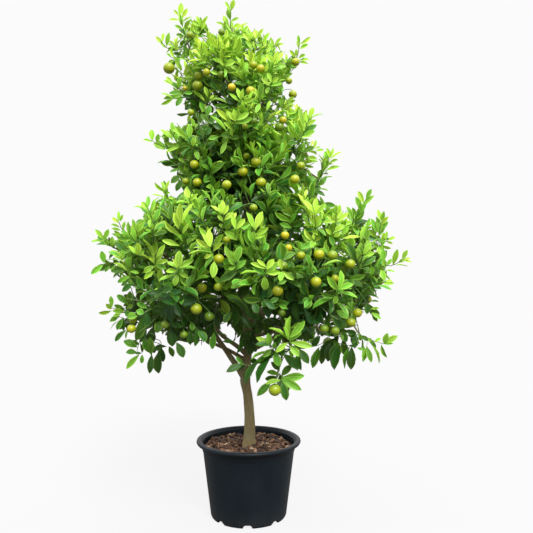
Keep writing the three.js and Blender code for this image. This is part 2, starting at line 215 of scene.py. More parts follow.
def mixNode(tree, share, first, second):
    node = tree.nodes.new("ShaderNodeMix")
    node.data_type = "RGBA"
    return fill(tree, node, {0: share, 6: first, 7: second}).outputs[2]


def bumpNode(tree, height, strength, distance, before=None):
    inputs = {"Height": height, "Strength": strength, "Distance": distance}
    if before is not None:
        inputs["Normal"] = before
    return addNode(tree, "ShaderNodeBump", inputs).outputs["Normal"]


def mixShader(tree, share, first, second):
    return addNode(tree, "ShaderNodeMixShader", {0: share, 1: first, 2: second}).outputs[0]


def showSurface(tree, shader, output="Material Output"):
    tree.links.new(shader, tree.nodes[output].inputs["Surface"])


# The photograph's camera: a level view along +Y from the height of the lower crown

view = {
    "distance": 1685,
    "side": 48,
    "height": 666,
    "focalPixels": 625,
    "centrePixel": 266.5,
    "frame": 533,
    "sensor": 36,
}

cameraData = bpy.data.cameras.new("camera")
cameraData.sensor_width = view["sensor"]
cameraData.lens = view["focalPixels"] / view["frame"] * view["sensor"]
camera = placed("camera", cameraData)
camera.location = (view["side"] * mm, -view["distance"] * mm, view["height"] * mm)
camera.rotation_euler = (math.pi / 2, 0, 0)
bpy.context.scene.camera = camera

eye = np.array([view["side"], -view["distance"], view["height"]], float)


def sightOf(pixels):
    # unit directions from the eye through pixels given as rows of across and down
    across = pixels[:, 0] - view["centrePixel"]
    down = pixels[:, 1] - view["centrePixel"]
    return unit(np.stack([across, np.full(len(pixels), float(view["focalPixels"])), -down], -1))


def pixelOf(points):
    # where points are seen, in pixels across and down, and how far in front of the eye they lie
    away = points - eye
    scale = view["focalPixels"] / away[..., 1]
    across = view["centrePixel"] + away[..., 0] * scale
    down = view["centrePixel"] - away[..., 2] * scale
    return np.stack([across, down, away[..., 1]], -1)


# Wood: the leader's points with their radius, and the limbs, as in the solids

leaderPoints = np.array([
    (0, 0, 121, 17), (0, 0, 183, 17), (2, 0, 225, 15), (2, 0, 264, 13.8), (-2, 0, 318, 12.6),
    (-8, 0, 358, 12.4), (-4, 2, 400, 10.6), (-3, 4, 470, 10.2), (-5, 0, 560, 9.8), (-8, -6, 650, 9),
    (-12, -4, 760, 8.2), (-2, 4, 860, 7.4), (-8, 6, 970, 6.2), (-16, 0, 1080, 5.2), (-30, -4, 1180, 4.2),
    (-44, -2, 1270, 3.2),
])

# each limb: its height on the leader, the point that bends it, its end, and its root radius
limbs = {
    "left": (362, (-105, -10, 520), (-290, -30, 690), 8.2),
    "leftFront": (430, (-90, -110, 500), (-190, -200, 690), 6.4),
    "front": (500, (-20, -120, 560), (-20, -230, 700), 6.2),
    "rightFront": (520, (100, -110, 560), (180, -220, 690), 6.4),
    "right": (440, (150, 0, 500), (300, -20, 700), 7.4),
    "rightBack": (530, (130, 90, 560), (240, 190, 690), 6.2),
    "back": (480, (10, 150, 540), (10, 290, 690), 6.4),
    "leftBack": (510, (-120, 110, 550), (-230, 220, 680), 6.2),
    "leftLow": (410, (-140, 10, 490), (-280, 10, 560), 5.2),
    "rightLow": (470, (130, -60, 520), (270, -30, 530), 5.2),
    "frontLow": (455, (50, -120, 540), (95, -230, 510), 5.2),
    "midLeft": (770, (-70, -10, 850), (-160, -10, 950), 5),
    "midFront": (740, (0, -70, 810), (0, -120, 930), 5),
    "midRight": (790, (70, 0, 850), (160, 5, 960), 5),
    "midBack": (800, (0, 80, 850), (-20, 130, 940), 5),
    "topLeft": (1030, (-70, -10, 1090), (-140, -15, 1210), 4),
    "topRight": (1050, (40, -10, 1100), (95, 0, 1180), 4),
    "topBack": (1020, (0, 60, 1080), (0, 95, 1150), 4),
    "topFront": (1000, (-10, -50, 1050), (-40, -80, 1120), 4),
}

wood = {
    "limbTip": 2.8,
    "trunkSides": 28,
    "trunkRings": 150,
    "limbSides": 10,
    "limbRings": 22,
    "rootFlare": 1.28,
    "flareShare": 0.1,
    "ridge": 0.035,
    "burr": 0.135,        # how much thicker the leader is under a limb
    "burrReach": (4, 16, 0.5),  # how far below the limb, how high and how far round the wood
    "swellings": [(183, 9, 0.1), (366, 14, 0.06)],  # height, reach and how much thicker
    "ripple": 0.05,
    "sway": 4,
}


def leaderAt(heights):
    # the leader's centre at each height: a Catmull-Rom curve with centripetal knots through its points
    places = leaderPoints[:, :3]
    last = len(places) - 1
    levels = places[:, 2]
    i = np.clip(np.searchsorted(levels, heights, side="left") - 1, 0, last - 1)
    within = np.clip((heights - levels[i]) / (levels[i + 1] - levels[i]), 0, 1)[:, None]
    ends = np.concatenate([[2 * places[0] - places[1]], places, [2 * places[-1] - places[-2]]])
    p0, p1, p2, p3 = ends[i], ends[i + 1], ends[i + 2], ends[i + 3]
    steps = ((p0, p1), (p1, p2), (p2, p3))
    d0, d1, d2 = (np.sqrt(np.linalg.norm(b - a, axis=-1, keepdims=True)) for a, b in steps)
    t1 = ((p1 - p0) / d0 - (p2 - p0) / (d0 + d1) + (p2 - p1) / d1) * d1
    t2 = ((p2 - p1) / d1 - (p3 - p1) / (d1 + d2) + (p3 - p2) / d2) * d1
    return p1 + within * (t1 + within * (3 * (p2 - p1) - 2 * t1 - t2 + within * (2 * (p1 - p2) + t1 + t2)))


def bezier(a, b, c, share):
    # quadratic curves: corners a, b, c as rows and shares as columns give rows of points
    s = share[None, :, None]
    return a[:, None] * (1 - s) ** 2 + b[:, None] * 2 * s * (1 - s) + c[:, None] * s**2


def tubes(centres, radii, sides, bulge=None):
    # tubes with closed ends: rings of points round each centre line, square to it, with a pole at each end.
    # centres is tube by ring by 3, radii is tube by ring, bulge is a factor for each ring and side
    count, rings, _ = centres.shape
    along = unit(np.gradient(centres, axis=1))
    reference = np.where(np.abs(along[:, :1, 2:3]) > 0.9, np.array([1.0, 0, 0]), up)
    first = squareTo(np.broadcast_to(reference, along.shape), along)
    second = np.cross(along, first)
    turn = anglesOf(sides)
    radius = radii[:, :, None] * (1 if bulge is None else bulge)
    ring = first[:, :, None] * np.cos(turn)[None, None, :, None]
    ring = ring + second[:, :, None] * np.sin(turn)[None, None, :, None]
    skin = centres[:, :, None] + ring * (radius * np.ones(sides))[..., None]
    foot = centres[:, 0] - along[:, 0] * radii[:, :1]
    tip = centres[:, -1] + along[:, -1] * radii[:, -1:]
    points = np.concatenate([skin.reshape(count, -1, 3), np.stack([foot, tip], 1)], 1)
    quads, triangles = (repeated(faces, count, points.shape[1]) for faces in bodyFaces(rings, sides))
    return points.reshape(-1, 3), quads, triangles


def joined(parts):
    # several bodies, each of points, quads and triangles, as one
    points, quads, triangles = zip(*parts)
    before = np.cumsum([0] + [len(rows) for rows in points[:-1]])
    return (
        np.concatenate(points),
        np.concatenate([faces + start for faces, start in zip(quads, before)]),
        np.concatenate([faces + start for faces, start in zip(triangles, before)]),
    )


limbShares = np.linspace(0, 1, wood["limbRings"])
limbRoots = leaderAt(np.array([limb[0] for limb in limbs.values()], float))
limbBends = np.array([limb[1] for limb in limbs.values()], float)
limbEnds = np.array([limb[2] for limb in limbs.values()], float)
limbRadii = np.array([limb[3] for limb in limbs.values()])[:, None]
limbLines = bezier(limbRoots, limbBends, limbEnds, limbShares)


def makeTrunk(material):
    # Trunk and leader: rings along the leader's curve, with low ridges that run up the wood, burrs under the
    # limbs and two swellings. Limbs: tubes along their curves, thicker where they join the leader.
    heights = np.linspace(leaderPoints[0, 2], leaderPoints[-1, 2], wood["trunkRings"])
    radius = np.interp(heights, leaderPoints[:, 2], leaderPoints[:, 3])
    h, t = heights[:, None], anglesOf(wood["trunkSides"])[None, :]
    bulge = 1 + wood["ridge"] * np.sin(3 * t + h / 90) + 0.6 * wood["ridge"] * np.sin(5 * t - h / 41)
    bulge = bulge + 0.4 * wood["ridge"] * np.sin(h / 9 + 2 * np.sin(t)) * np.sin(2 * t + 1)
    drop, high, wide = wood["burrReach"]
    for z, bend, _, _ in limbs.values():
        towards = math.atan2(bend[1], bend[0])
        burr = np.exp(-(((h - z + drop) / high) ** 2)) * np.exp(-((np.sin((t - towards) / 2) / wide) ** 2))
        bulge = bulge + wood["burr"] * burr
    swollen = 1
    for level, reach, more in wood["swellings"]:
        swollen = swollen + more * np.exp(-(((h - level) / reach) ** 2))
    leader = tubes(leaderAt(heights)[None], radius[None], wood["trunkSides"], (bulge * swollen)[None])
    share = limbShares[None, :]
    sizes = limbRadii * (1 - share) + wood["limbTip"] * share
    sizes = sizes * (1 + (wood["rootFlare"] - 1) * np.exp(-((share / wood["flareShare"]) ** 2)))
    sizes = sizes * (1 + wood["ripple"] * np.sin(share * 40 + limbRadii * 7))
    sway = np.sin(limbShares * tau * 2.2)[None, :, None] * np.sin(limbShares * math.pi)[None, :, None]
    wander = np.sin(np.arange(len(limbs) * 3) * 2.7).reshape(-1, 1, 3) * wood["sway"]
    arms = tubes(limbLines + sway * wander, sizes, wood["limbSides"])
    makePiece("trunk_and_limbs", *joined([leader, arms]), material, "bark", ["trunk"])


# Sprays of each tier, numbered from 1: heart x, y, z, spread from the heart to the leaf tips, and lift, 1 for
# upright to -1 for hanging

sprayTiers = {
    "lower_front": [
        (-285, -120, 705, 100, 0.6), (-215, -240, 715, 100, 0.8), (-150, -150, 805, 95, 1),
        (-70, -290, 730, 100, 0.8), (30, -190, 785, 95, 1), (45, -320, 655, 95, 0.5),
        (-165, -290, 595, 100, 0), (155, -230, 755, 100, 0.9), (235, -265, 635, 100, 0.4),
        (140, -310, 610, 90, 0), (105, -270, 480, 85, -0.5), (-60, -220, 590, 95, -0.2),
        (68, -240, 400, 60, -1),
    ],
    "lower_side": [
        (-330, -30, 735, 90, 0.7), (-250, 30, 815, 90, 1), (-310, 20, 575, 95, 0), (-270, -50, 475, 90, -0.8),
        (280, -10, 790, 90, 1), (348, -50, 705, 90, 0.6), (320, 60, 595, 85, 0.2), (290, -60, 490, 90, -0.4),
        (185, -110, 500, 95, -0.8),
    ],
    "lower_back": [
        (-290, 210, 720, 100, 0.6), (-150, 302, 660, 100, 0.4), (20, 305, 730, 100, 0.6),
        (180, 300, 655, 100, 0.4), (285, 190, 750, 100, 0.7), (-200, 190, 520, 95, -0.4),
        (40, 240, 530, 95, -0.4), (230, 180, 500, 90, -0.4),
    ],
    "middle": [
        (-200, -10, 985, 90, 0.8), (-105, -140, 960, 90, 0.8), (10, -160, 1000, 90, 0.8),
        (115, -110, 965, 90, 0.8), (140, 0, 1025, 75, 1), (190, 10, 905, 80, 0.8), (-95, -125, 872, 85, 0),
        (30, -160, 880, 85, 0), (-120, 140, 950, 90, 0.6), (50, 170, 980, 90, 0.6), (60, 170, 850, 90, 0),
    ],
    "top": [
        (-45, 0, 1310, 75, 1.5), (-165, -10, 1270, 80, 1), (45, -30, 1250, 80, 1), (100, 10, 1210, 75, 1),
        (-75, -110, 1180, 80, 0.8), (20, -110, 1120, 80, 0.4), (-155, -30, 1120, 80, 0.2),
        (-60, 110, 1200, 80, 0.8), (70, 100, 1140, 80, 0.4),
    ],
}
sprays = {
    f"{tier}_{number:02d}": spray for tier, rows in sprayTiers.items() for number, spray in enumerate(rows, 1)
}

sprayTable = np.array(list(sprays.values()), float)
hearts, spreads, lifts = sprayTable[:, :3], sprayTable[:, 3], sprayTable[:, 4]

spiral = {"capDepth": 1.5, "lean": 0.25, "inner": 150}


def sprayWays(count):
    # For each spray, count unit directions on a golden spiral over a cap round its way out of the crown,
    # as the solids have them. The way out points away from the leader, raised or lowered by the lift.
    away = hearts - leaderAt(hearts[:, 2])
    away[:, 2] = 0
    away = away / np.maximum(np.linalg.norm(away, axis=1, keepdims=True), spiral["inner"])
    out = unit(away + up * lifts[:, None])
    side = squareTo(np.where(np.abs(out[:, 2:]) < 0.9, up, np.array([0, 1.0, 0])), out)
    third = np.cross(out, side)
    k = np.arange(count)[None, :, None]
    cosine = 1 - spiral["capDepth"] * (k + 0.5) / count
    sine = np.sqrt(1 - cosine**2)
    turn = k * goldenTurn + np.arange(len(hearts))[:, None, None]
    ways = out[:, None] * cosine + side[:, None] * sine * np.cos(turn) + third[:, None] * sine * np.sin(turn)
    return unit(ways + up * (spiral["lean"] * lifts)[:, None, None])


# Leafy shoots: on each spray, short green shoots that each bear a spiral of leaves

shoots = {
    "seed": 7,
    "perSpray": 14,
    "thinned": 0.5,       # share of the shoots that a fully hanging spray loses
    "scatter": 0.42,      # how far the shoots stand from the heart, as a share of the spray's spread
    "low": 0.15,          # how far below the heart they start, in the same way
    "reach": 0.56,        # length of a shoot, in the same way
    "reachVary": 0.35,
    "outward": 0.62,      # how far a shoot follows its own way rather than the light
    "rise": (0.3, 0.75),  # turn towards the light on any spray, and more of it with the spray's lift
    "hang": 1.3,          # how much stronger the lift works on a hanging spray
    "wander": 0.25,
    "radiusFoot": 1.5,
    "radiusTip": 0.8,
    "stemSides": 5,
    "stemRings": 7,
    "leafSeed": 21,
    "firstLeaf": 0.3,     # where the leaves begin, as a share of the shoot
}

# How young the leaves of a spray's shoots are, from 0 for old to 1 for young; young leaves are paler. The
# rise with height is partly the young growth at the top and partly painted shade that darkens the lower crown
youthOf = {
    "least": 0.2,
    "rises": [(480, 760, 0.26), (760, 1250, 0.26)],  # between which heights it grows, and by how much
    "lift": 0.1,
    "upward": 0.22,
    "outward": 0.12,
    "vary": 0.1,
}

# Leaves along a shoot
leafSpiral = {
    "leaves": 11,
    "openAngle": 56,      # between stem and leaf at the shoot's foot and at its tip, in degrees
    "tipAngle": 18,
    "angleVary": 11,
    "turnVary": 0.2,
    "tipYouth": 0.4,      # how much younger the tip's leaves are than the foot's
    "youthFrom": 0.6,     # the place on the shoot whose leaves are as young as the shoot
    "ageVary": 0.08,
    "sink": (0.4, 0.8, -0.12),  # droop of the oldest leaf, of a hanging shoot's leaf, and of any
    "sizes": ((0, 0.3, 0.7, 1), (0.8, 1, 1, 0.72)),  # places on the shoot, and how long the leaves are there
    "grown": (0.9, 0.18, 0.14),  # length of the youngest leaf, and more of it with age and on a hanging shoot
    "stalk": 0.1,
}

# Shoots inside the crown, with old leaves: on the limbs and the leader, and between neighbouring sprays
innerShoots = {
    "seed": 3,
    "perLimb": 6,
    "firstRing": 8,
    "onLeader": 40,
    "levels": (520, 1200),
    "outward": 0.6,       # how far a twig leans away from the leader where it begins awayFull from it
    "awayFull": 150,
    "rise": 0.1,
    "length": (45, 100),
    "sag": 6,
    "youth": (-0.05, 0.2),
    "between": 3,
    "neighbour": 195,
    "inward": 0.1,
    "scatter": 18,
    "betweenRise": 0.5,
    "betweenLength": (45, 70),
    "betweenYouth": (0.0, 0.4),
    "highYouth": 0.45,
    "highFrom": (800, 1250),
    "margin": 3,
    "leafSeed": 23,
    "firstLeaf": 0.35,
    "split": 780,         # height that parts the inner leaves of the lower crown from the others
}

# Twigs that close the crown behind its front leaves
backTwigs = {
    "beyond": 0.4,        # how far behind the heart they end, as a share of the spray's spread
    "sag": 8,
    "rise": 14,
    "leafSeed": 26,
    "firstLeaf": 0.5,
}

# Sprigs that the photograph shows: the pixels, across and down, of each stem's foot and tip, and its leaves
# as foot, tip, youth in percent and width in pixels. The youth sets a leaf's shade of green and partly paints
# light
# and shade: leaves in shade are given low youth and a darker colour, lit ones high youth and a paler one. A
# tip with a third value reaches that much further, or below 0 grows from a limb to that depth
sprigsSeen = [
    ((185, 37), (180, 15), (178.5, 17, 181.5, 3, 85, 6), (177.5, 16.5, 173.5, 10, 90, 3),
     (184, 18, 187.5, 8.5, 95, 4.5), (178, 21, 169, 20, 85, 3), (183, 22, 192, 17, 80, 3),
     (182, 29.5, 174.5, 25.5, 75, 3.5), (185, 29, 190, 20, 75, 4.5), (183, 37, 176, 34.5, 65, 3.5),
     (181, 26, 180, 19.5, 90, 3.5)),
    ((202, 36), (201, 24), (201.5, 28, 196.5, 16, 95, 4.5), (203, 26, 207.5, 16, 85, 3.5),
     (203, 31, 205, 21.5, 80, 5), (198, 26, 192, 21.5, 80, 4.5)),
    ((229, 34), (231, 9), (230, 11, 225, 1.5, 80, 3.5), (231.5, 11, 234, -0.5, 80, 5.5),
     (229.5, 19.5, 227, 10, 55, 5), (227, 27, 223, 15.5, 90, 4.5), (232, 21.5, 239, 18, 80, 3.5),
     (224, 26, 216, 22.5, 80, 3), (229, 29, 226, 23, 90, 4), (234, 29, 240, 24, 95, 4),
     (236, 33, 248, 23, 85, 4)),
    ((254, 54), (255, 38), (248, 40, 252, 31.5, 100, 5), (248, 42, 243.5, 33.5, 100, 4.5),
     (257.5, 40, 255.5, 29.5, 95, 4.5), (259, 38.5, 263.5, 28.5, 85, 4), (261, 42, 269.5, 32.5, 85, 4),
     (251, 53, 245, 41, 85, 4), (255, 52, 254, 42, 85, 4.5), (259.5, 50, 266, 42.5, 85, 4)),
    ((274, 58), (274, 46), (274, 48, 270, 37, 85, 3.5), (275, 45.5, 281.5, 37.5, 85, 3.5),
     (276, 47, 284, 44, 85, 3), (272, 50.5, 267.5, 41.5, 80, 3.5), (273, 56, 275, 47, 80, 5)),
    ((299, 66), (299, 44), (299.5, 44.5, 298, 35, 80, 3.5), (301, 44, 310.5, 37, 90, 3),
     (301, 49, 308, 44.5, 75, 4.5), (299, 49, 297.5, 40, 80, 4), (294, 57, 289.5, 50, 85, 3.5),
     (295, 57, 296.5, 49, 80, 3.5), (300.5, 59, 305.5, 54.5, 80, 4), (301, 61.5, 309, 59.5, 80, 3.5),
     (301, 63, 308, 64, 80, 3)),
    ((176, 60), (161, 42), (163, 45, 155.5, 36.5, 85, 4), (163.5, 41, 163.5, 33, 95, 4),
     (167, 46, 169, 32.5, 75, 5), (170, 53, 173, 47, 95, 4.5), (165, 49, 161, 44, 80, 3),
     (176, 52, 176, 40.5, 90, 4.5)),
    ((180, 90), (172, 84), (173.5, 83.5, 166, 77, 85, 4), (171.5, 86, 163.5, 80.5, 85, 3),
     (179, 89, 179, 77, 65, 6)),
    ((180, 99), (173, 98), (172, 97, 161, 93.5, 80, 3), (173, 99.5, 161, 104.5, 70, 3)),
    ((209, 108), (209, 99, 1.4), (206, 102, 192, 90.5, 95, 4), (206.5, 95, 204.5, 86.5, 85, 4.5),
     (206, 104, 202, 112.5, 90, 6), (214, 98, 227, 103.5, 70, 4), (215, 106.5, 229, 106, 55, 4),
     (210, 99, 214, 95, 95, 3)),
    ((241, 110), (240, 99), (239.5, 102.5, 229, 93.5, 80, 3.5), (241, 100, 237, 88, 85, 4),
     (241.5, 99, 243, 90.5, 85, 5), (244, 101.5, 254, 98.5, 85, 3.5), (250, 101, 252.5, 91, 85, 3.5)),
    ((225, 74), (225, 66), (224, 66, 217, 59, 90, 3.5), (226, 66, 235.5, 61, 85, 4.5),
     (219, 77.5, 210.5, 71, 80, 4)),
    ((272, 90), (272, 82), (272, 83.5, 267.5, 72.5, 85, 4.5), (273, 83, 278.5, 77, 85, 4.5),
     (270, 86, 261.5, 77.5, 85, 4)),
    ((274, 68), (275, 60), (271, 62, 265.5, 54, 90, 4.5), (275, 61, 277, 52, 100, 5),
     (278, 61, 283, 52.5, 95, 4), (271.5, 62, 270.5, 55, 90, 4)),
    ((283, 112), (284, 104), (282, 106, 284, 95, 70, 5), (285.5, 104, 295, 97, 75, 4),
     (286, 107, 295.5, 100, 75, 4), (277, 112, 278.5, 103, 75, 4), (272, 113, 262, 102.5, 75, 5)),
    ((227, 146), (235, 121), (228, 122, 216, 109, 90, 6), (228, 120, 227.5, 110.5, 85, 6),
     (234, 121, 228.5, 112, 85, 6), (236, 120.5, 234, 109, 85, 4.5), (237.5, 119, 249, 112.5, 85, 4.5),
     (236, 123.5, 252, 118, 75, 5), (225, 133, 210, 116, 75, 6), (229, 129, 224, 122, 85, 4),
     (230, 138, 231.5, 127, 90, 6.5), (217, 137.5, 208, 139, 60, 5), (229, 141, 239, 137.5, 45, 7),
     (225, 143, 220.5, 154, 70, 5)),
    ((170, 152), (151, 140), (152.5, 141, 151.5, 129.5, 75, 6), (157, 142.5, 158.5, 134, 50, 5),
     (152, 143, 143, 139.5, 75, 3), (165, 152, 153.5, 143.5, 65, 7)),
    ((178, 152), (173, 134), (172, 143, 160, 129.5, 75, 5), (172, 131, 172, 122, 65, 4.5),
     (175, 143, 176, 133, 60, 7), (178, 149.5, 165.5, 153, 85, 4), (176, 148, 165, 142.5, 75, 4),
     (180, 149, 188, 143, 70, 5)),
    ((190, 152), (189, 138), (187, 138, 175, 126, 80, 5), (190, 139, 190, 124, 65, 6.5),
     (192, 147, 195, 137, 75, 5), (195, 150, 198, 160, 70, 5)),
    ((182, 172), (173, 163), (171.5, 163.5, 156.5, 163.5, 30, 3.5), (186, 163, 178, 158, 75, 4),
     (181, 172, 170, 172, 40, 3.5), (181, 178, 171, 183, 30, 7), (183, 182, 176, 191, 20, 6)),
    ((298, 150), (309, 119), (301, 126, 299, 109, 70, 5), (310.5, 118, 313.5, 107.5, 90, 6),
     (307, 124, 306, 112, 80, 4), (311.5, 118.5, 323.5, 114, 80, 3), (306.5, 125.5, 316, 120, 75, 5),
     (297, 136, 295, 123, 75, 5.5), (296, 138, 288, 124, 80, 4), (305, 137, 315, 131, 75, 5.5),
     (297, 142, 309.5, 139.5, 60, 3.5)),
    ((302, 156), (313, 148), (302, 153, 315, 147, 40, 6), (316, 150, 316, 140, 90, 3.6),
     (317.5, 149.5, 320.5, 147, 80, 2.5), (317.5, 152.7, 324, 150, 78, 3)),
    ((313, 190), (330, 159), (330.5, 158.5, 326.3, 148, 90, 3.8), (331, 163, 337.7, 159.5, 60, 3),
     (330, 158, 333.5, 148, 85, 3.5), (331, 160, 342.5, 152, 85, 3.5), (323.5, 168, 318.5, 155, 70, 2.6),
     (325.5, 171, 328.5, 160, 68, 7.5), (328, 160.5, 324.7, 151.5, 75, 5.5),
     (327.5, 172, 339.5, 166.5, 75, 4), (320, 181, 321, 169.5, 50, 7), (322, 181, 333, 176.5, 60, 3.5),
     (317, 188, 324.5, 182, 55, 5), (315, 191, 328.5, 191, 55, 3), (312, 193, 325, 196, 35, 4)),
    ((166, 202), (165, 190), (164, 192, 154.5, 182.5, 85, 3.5), (163.5, 190, 161, 181.5, 80, 3),
     (165, 191, 169.5, 180.5, 85, 3.5), (165, 199, 150.5, 194.5, 80, 3), (167, 198, 173.5, 198, 80, 3),
     (166, 194, 170, 192.5, 80, 2.5)),
    ((190, 206), (189, 198), (189, 199, 186, 188.5, 95, 7), (190, 201, 198, 193.5, 90, 4)),
    ((156, 224), (148, 208), (148, 211, 133, 206.5, 70, 3.5), (147, 211, 141.5, 202, 75, 6),
     (148, 208, 148.5, 196, 65, 5), (151.5, 211, 154.5, 199, 70, 4), (154, 221, 147, 211.5, 65, 5),
     (157, 220, 159.5, 209, 55, 6)),
    ((122, 238), (119, 222), (118, 221.5, 118.5, 211, 85, 3.5), (118, 223.5, 112, 217.5, 100, 5),
     (121, 221.5, 123, 214.5, 75, 3), (119, 228, 110.5, 224.5, 70, 3.5), (119.5, 232, 111.5, 228.5, 70, 3.5),
     (123, 230, 125, 221.5, 65, 4)),
    ((136, 242), (136, 230), (133, 230, 132.5, 219, 65, 4), (137, 233, 136.5, 223, 75, 5),
     (139, 232, 145, 221.5, 75, 5), (134.5, 240, 130.5, 232, 65, 5)),
    ((116, 254), (104, 240), (103, 238.5, 95, 229.5, 75, 5), (105.5, 238, 108.5, 229, 65, 5),
     (103, 242, 91, 242, 70, 3.5), (106, 246, 96.5, 244.5, 40, 3), (112, 247, 112, 236.5, 60, 5),
     (108, 247, 103, 239, 65, 6)),
    ((116, 268), (104, 264), (104.5, 262, 101.5, 251, 50, 7), (103, 265.5, 91, 274, 65, 6.5),
     (110, 265, 105, 272, 40, 4)),
    ((184, 248), (179, 226), (177, 230, 174, 212, 90, 7), (179, 236, 164.5, 220.5, 85, 4),
     (181, 244, 170, 229, 80, 5), (183, 222, 180, 203, 85, 7), (183, 222, 194.5, 203, 85, 6),
     (181, 235, 189, 223.5, 85, 4), (178, 248, 162, 240, 80, 6), (187, 248, 190, 237, 60, 5),
     (187, 246, 198, 235, 60, 5)),
    ((156, 276), (156, 257), (155, 260, 142.5, 239.5, 85, 6), (155, 256, 155.5, 240, 90, 7),
     (157.5, 257, 165, 244.5, 85, 5), (155, 262, 146, 250, 80, 5), (154, 264, 141, 254.5, 95, 3),
     (158, 264, 168, 260, 85, 5), (154, 268, 143.5, 272.5, 75, 6), (155, 273.5, 144, 279, 80, 6)),
    ((180, 278), (178, 267), (178.5, 268, 179.5, 250.5, 75, 8), (180, 268.5, 194, 259.5, 80, 6),
     (180, 270, 196, 268, 70, 4), (179, 272.5, 188, 278, 85, 8), (179, 275, 187, 286, 75, 5),
     (177, 274, 174.5, 286, 55, 6), (176, 271, 166, 271.5, 85, 6), (176, 269, 167, 262, 80, 4),
     (176.5, 268, 173, 259, 90, 3.5), (174, 275, 159, 281, 65, 4)),
    ((132, 284), (124, 260), (122.5, 261, 111, 250, 85, 6), (123.5, 260, 123.5, 248, 75, 4),
     (126, 273, 113.5, 263, 85, 5), (128, 271, 128, 256, 60, 5), (130, 272, 132, 256, 60, 4),
     (129, 274, 139, 273.5, 75, 3.5), (129, 279, 117.5, 282.5, 70, 5), (131, 281, 121.5, 286, 25, 4),
     (133, 286, 122, 291.5, 20, 6), (122, 272, 113.5, 278, 30, 3.5)),
    ((126, 312), (112, 308), (112, 306, 111, 296, 65, 5), (111, 311, 106, 304, 75, 6),
     (111, 313, 98.5, 313, 75, 3.5), (126, 313, 114, 305, 50, 5), (127, 303, 117, 295, 45, 6.5),
     (129, 303, 130, 291, 40, 6), (128, 311, 133, 304.5, 75, 5), (120, 318, 109.5, 322, 60, 5)),
    ((214, 262), (210, 247), (210, 248, 208.5, 229.5, 90, 7), (208, 246, 202, 233.5, 85, 5),
     (212, 247, 223.5, 233.5, 85, 6), (212.5, 251, 223, 242.5, 85, 5), (208, 249, 198.5, 241.5, 95, 4),
     (208, 253, 188.5, 254.5, 90, 4.5), (213, 257, 204, 258.5, 90, 6.5), (212, 261, 205.5, 268.5, 60, 3),
     (215, 264, 212.5, 278, 80, 8.5), (206, 247, 196, 238.5, 90, 3.5), (206, 251, 193, 248, 80, 3)),
    ((226, 234), (223, 213), (222, 214, 222.5, 200, 90, 5), (221, 215, 210.5, 205.5, 95, 4),
     (221, 213, 218.5, 204, 90, 4), (224, 215, 228, 205, 90, 5), (225, 220, 233.5, 212.5, 90, 5.5),
     (224, 222, 217.5, 215.5, 90, 5), (225, 229, 219, 224, 70, 5)),
    ((239, 240), (236, 229), (235, 230, 232, 216, 80, 5), (237, 229, 245, 218.5, 85, 5),
     (240, 243, 224.5, 231.5, 75, 6.5)),
    ((253, 254), (255, 230), (254.5, 229, 246.5, 212, 75, 5.5), (256, 229, 262.5, 211.5, 85, 8),
     (256, 234.5, 268.5, 227.5, 80, 5), (255, 239, 265, 235.5, 70, 4), (250, 244, 248.5, 230, 70, 6),
     (253, 242, 253, 231, 75, 5)),
    ((234, 276), (236, 262), (235, 262, 241, 246, 60, 8), (233, 272, 246, 260, 45, 6),
     (233, 266, 228, 259, 70, 5), (235, 267, 229, 270, 75, 4), (230, 261, 225, 246, 70, 4.5)),
    ((264, 282), (266, 269), (267, 269.5, 274, 259, 85, 7), (264, 268.5, 250.5, 263, 85, 5),
     (262, 274, 240, 274, 80, 5), (267, 265, 257, 259.5, 85, 4.5), (264, 276, 265.5, 290, 75, 8),
     (267, 273, 281, 272, 85, 4.5)),
    ((286, 280), (282, 270), (282, 271, 280, 281.5, 80, 6), (284, 271, 294, 280, 80, 5),
     (281, 269, 279.5, 259, 90, 6), (289, 282.5, 278, 284, 50, 5), (288, 283, 301, 287.5, 35, 5)),
    ((222, 292), (226, 296), (224.5, 294.5, 243, 303, 50, 7), (220, 298.5, 228.5, 314, 85, 8.5),
     (219, 297, 201, 298, 65, 5.5), (220, 299, 206, 303, 30, 6), (226, 300, 249, 314, 20, 8)),
    ((290, 232), (291, 222), (291, 221, 275, 212, 60, 5), (290, 229.5, 279.5, 223.5, 55, 5),
     (286, 238, 269, 245.5, 20, 5)),
    ((350, 228), (366, 199), (364.5, 204, 358, 191, 80, 5.5), (366, 199, 371.5, 189, 60, 4.5),
     (364, 208, 374, 195.5, 70, 5), (361, 209, 355.5, 197, 50, 6), (358, 221, 363.5, 206, 55, 7),
     (354, 215, 352.5, 207.5, 50, 4.5), (355, 227, 369, 221, 15, 5), (352, 220, 346, 206.5, 70, 4),
     (355, 219, 361, 214, 50, 5), (362, 215, 366, 202, 60, 5), (356, 225, 364, 210, 40, 7),
     (361, 212, 360, 201, 60, 4.5)),
    ((376, 242), (382, 220), (381, 222, 377.5, 209.5, 80, 4.5), (383.5, 222, 384, 211, 65, 4),
     (382, 225, 388.5, 216.5, 80, 4.5), (378, 235, 376, 216.5, 55, 5), (383, 232, 388.5, 221.5, 60, 4.5),
     (381, 236, 382, 222, 60, 8), (373, 232, 371, 218.5, 60, 5), (375, 238, 369, 229, 65, 4)),
    ((374, 248), (388, 240), (388, 241, 395.5, 237, 90, 3.5), (386, 242, 393, 244, 85, 3),
     (382, 246, 391, 248.5, 80, 2.5), (385, 240, 387, 231, 80, 3.5), (381, 243, 385, 233, 85, 3)),
    ((382, 275), (402, 260), (402.5, 259, 407.5, 250, 75, 5), (403, 261, 410.5, 258.5, 90, 3.5),
     (403, 261.5, 412, 262.5, 90, 2.5), (398.5, 263, 404.5, 259.5, 60, 4), (393, 265, 397.5, 249, 65, 6.5),
     (395, 266, 407.5, 266.5, 70, 3), (384, 272.5, 395.5, 272, 80, 3), (387, 266, 391.5, 259, 65, 5.5)),
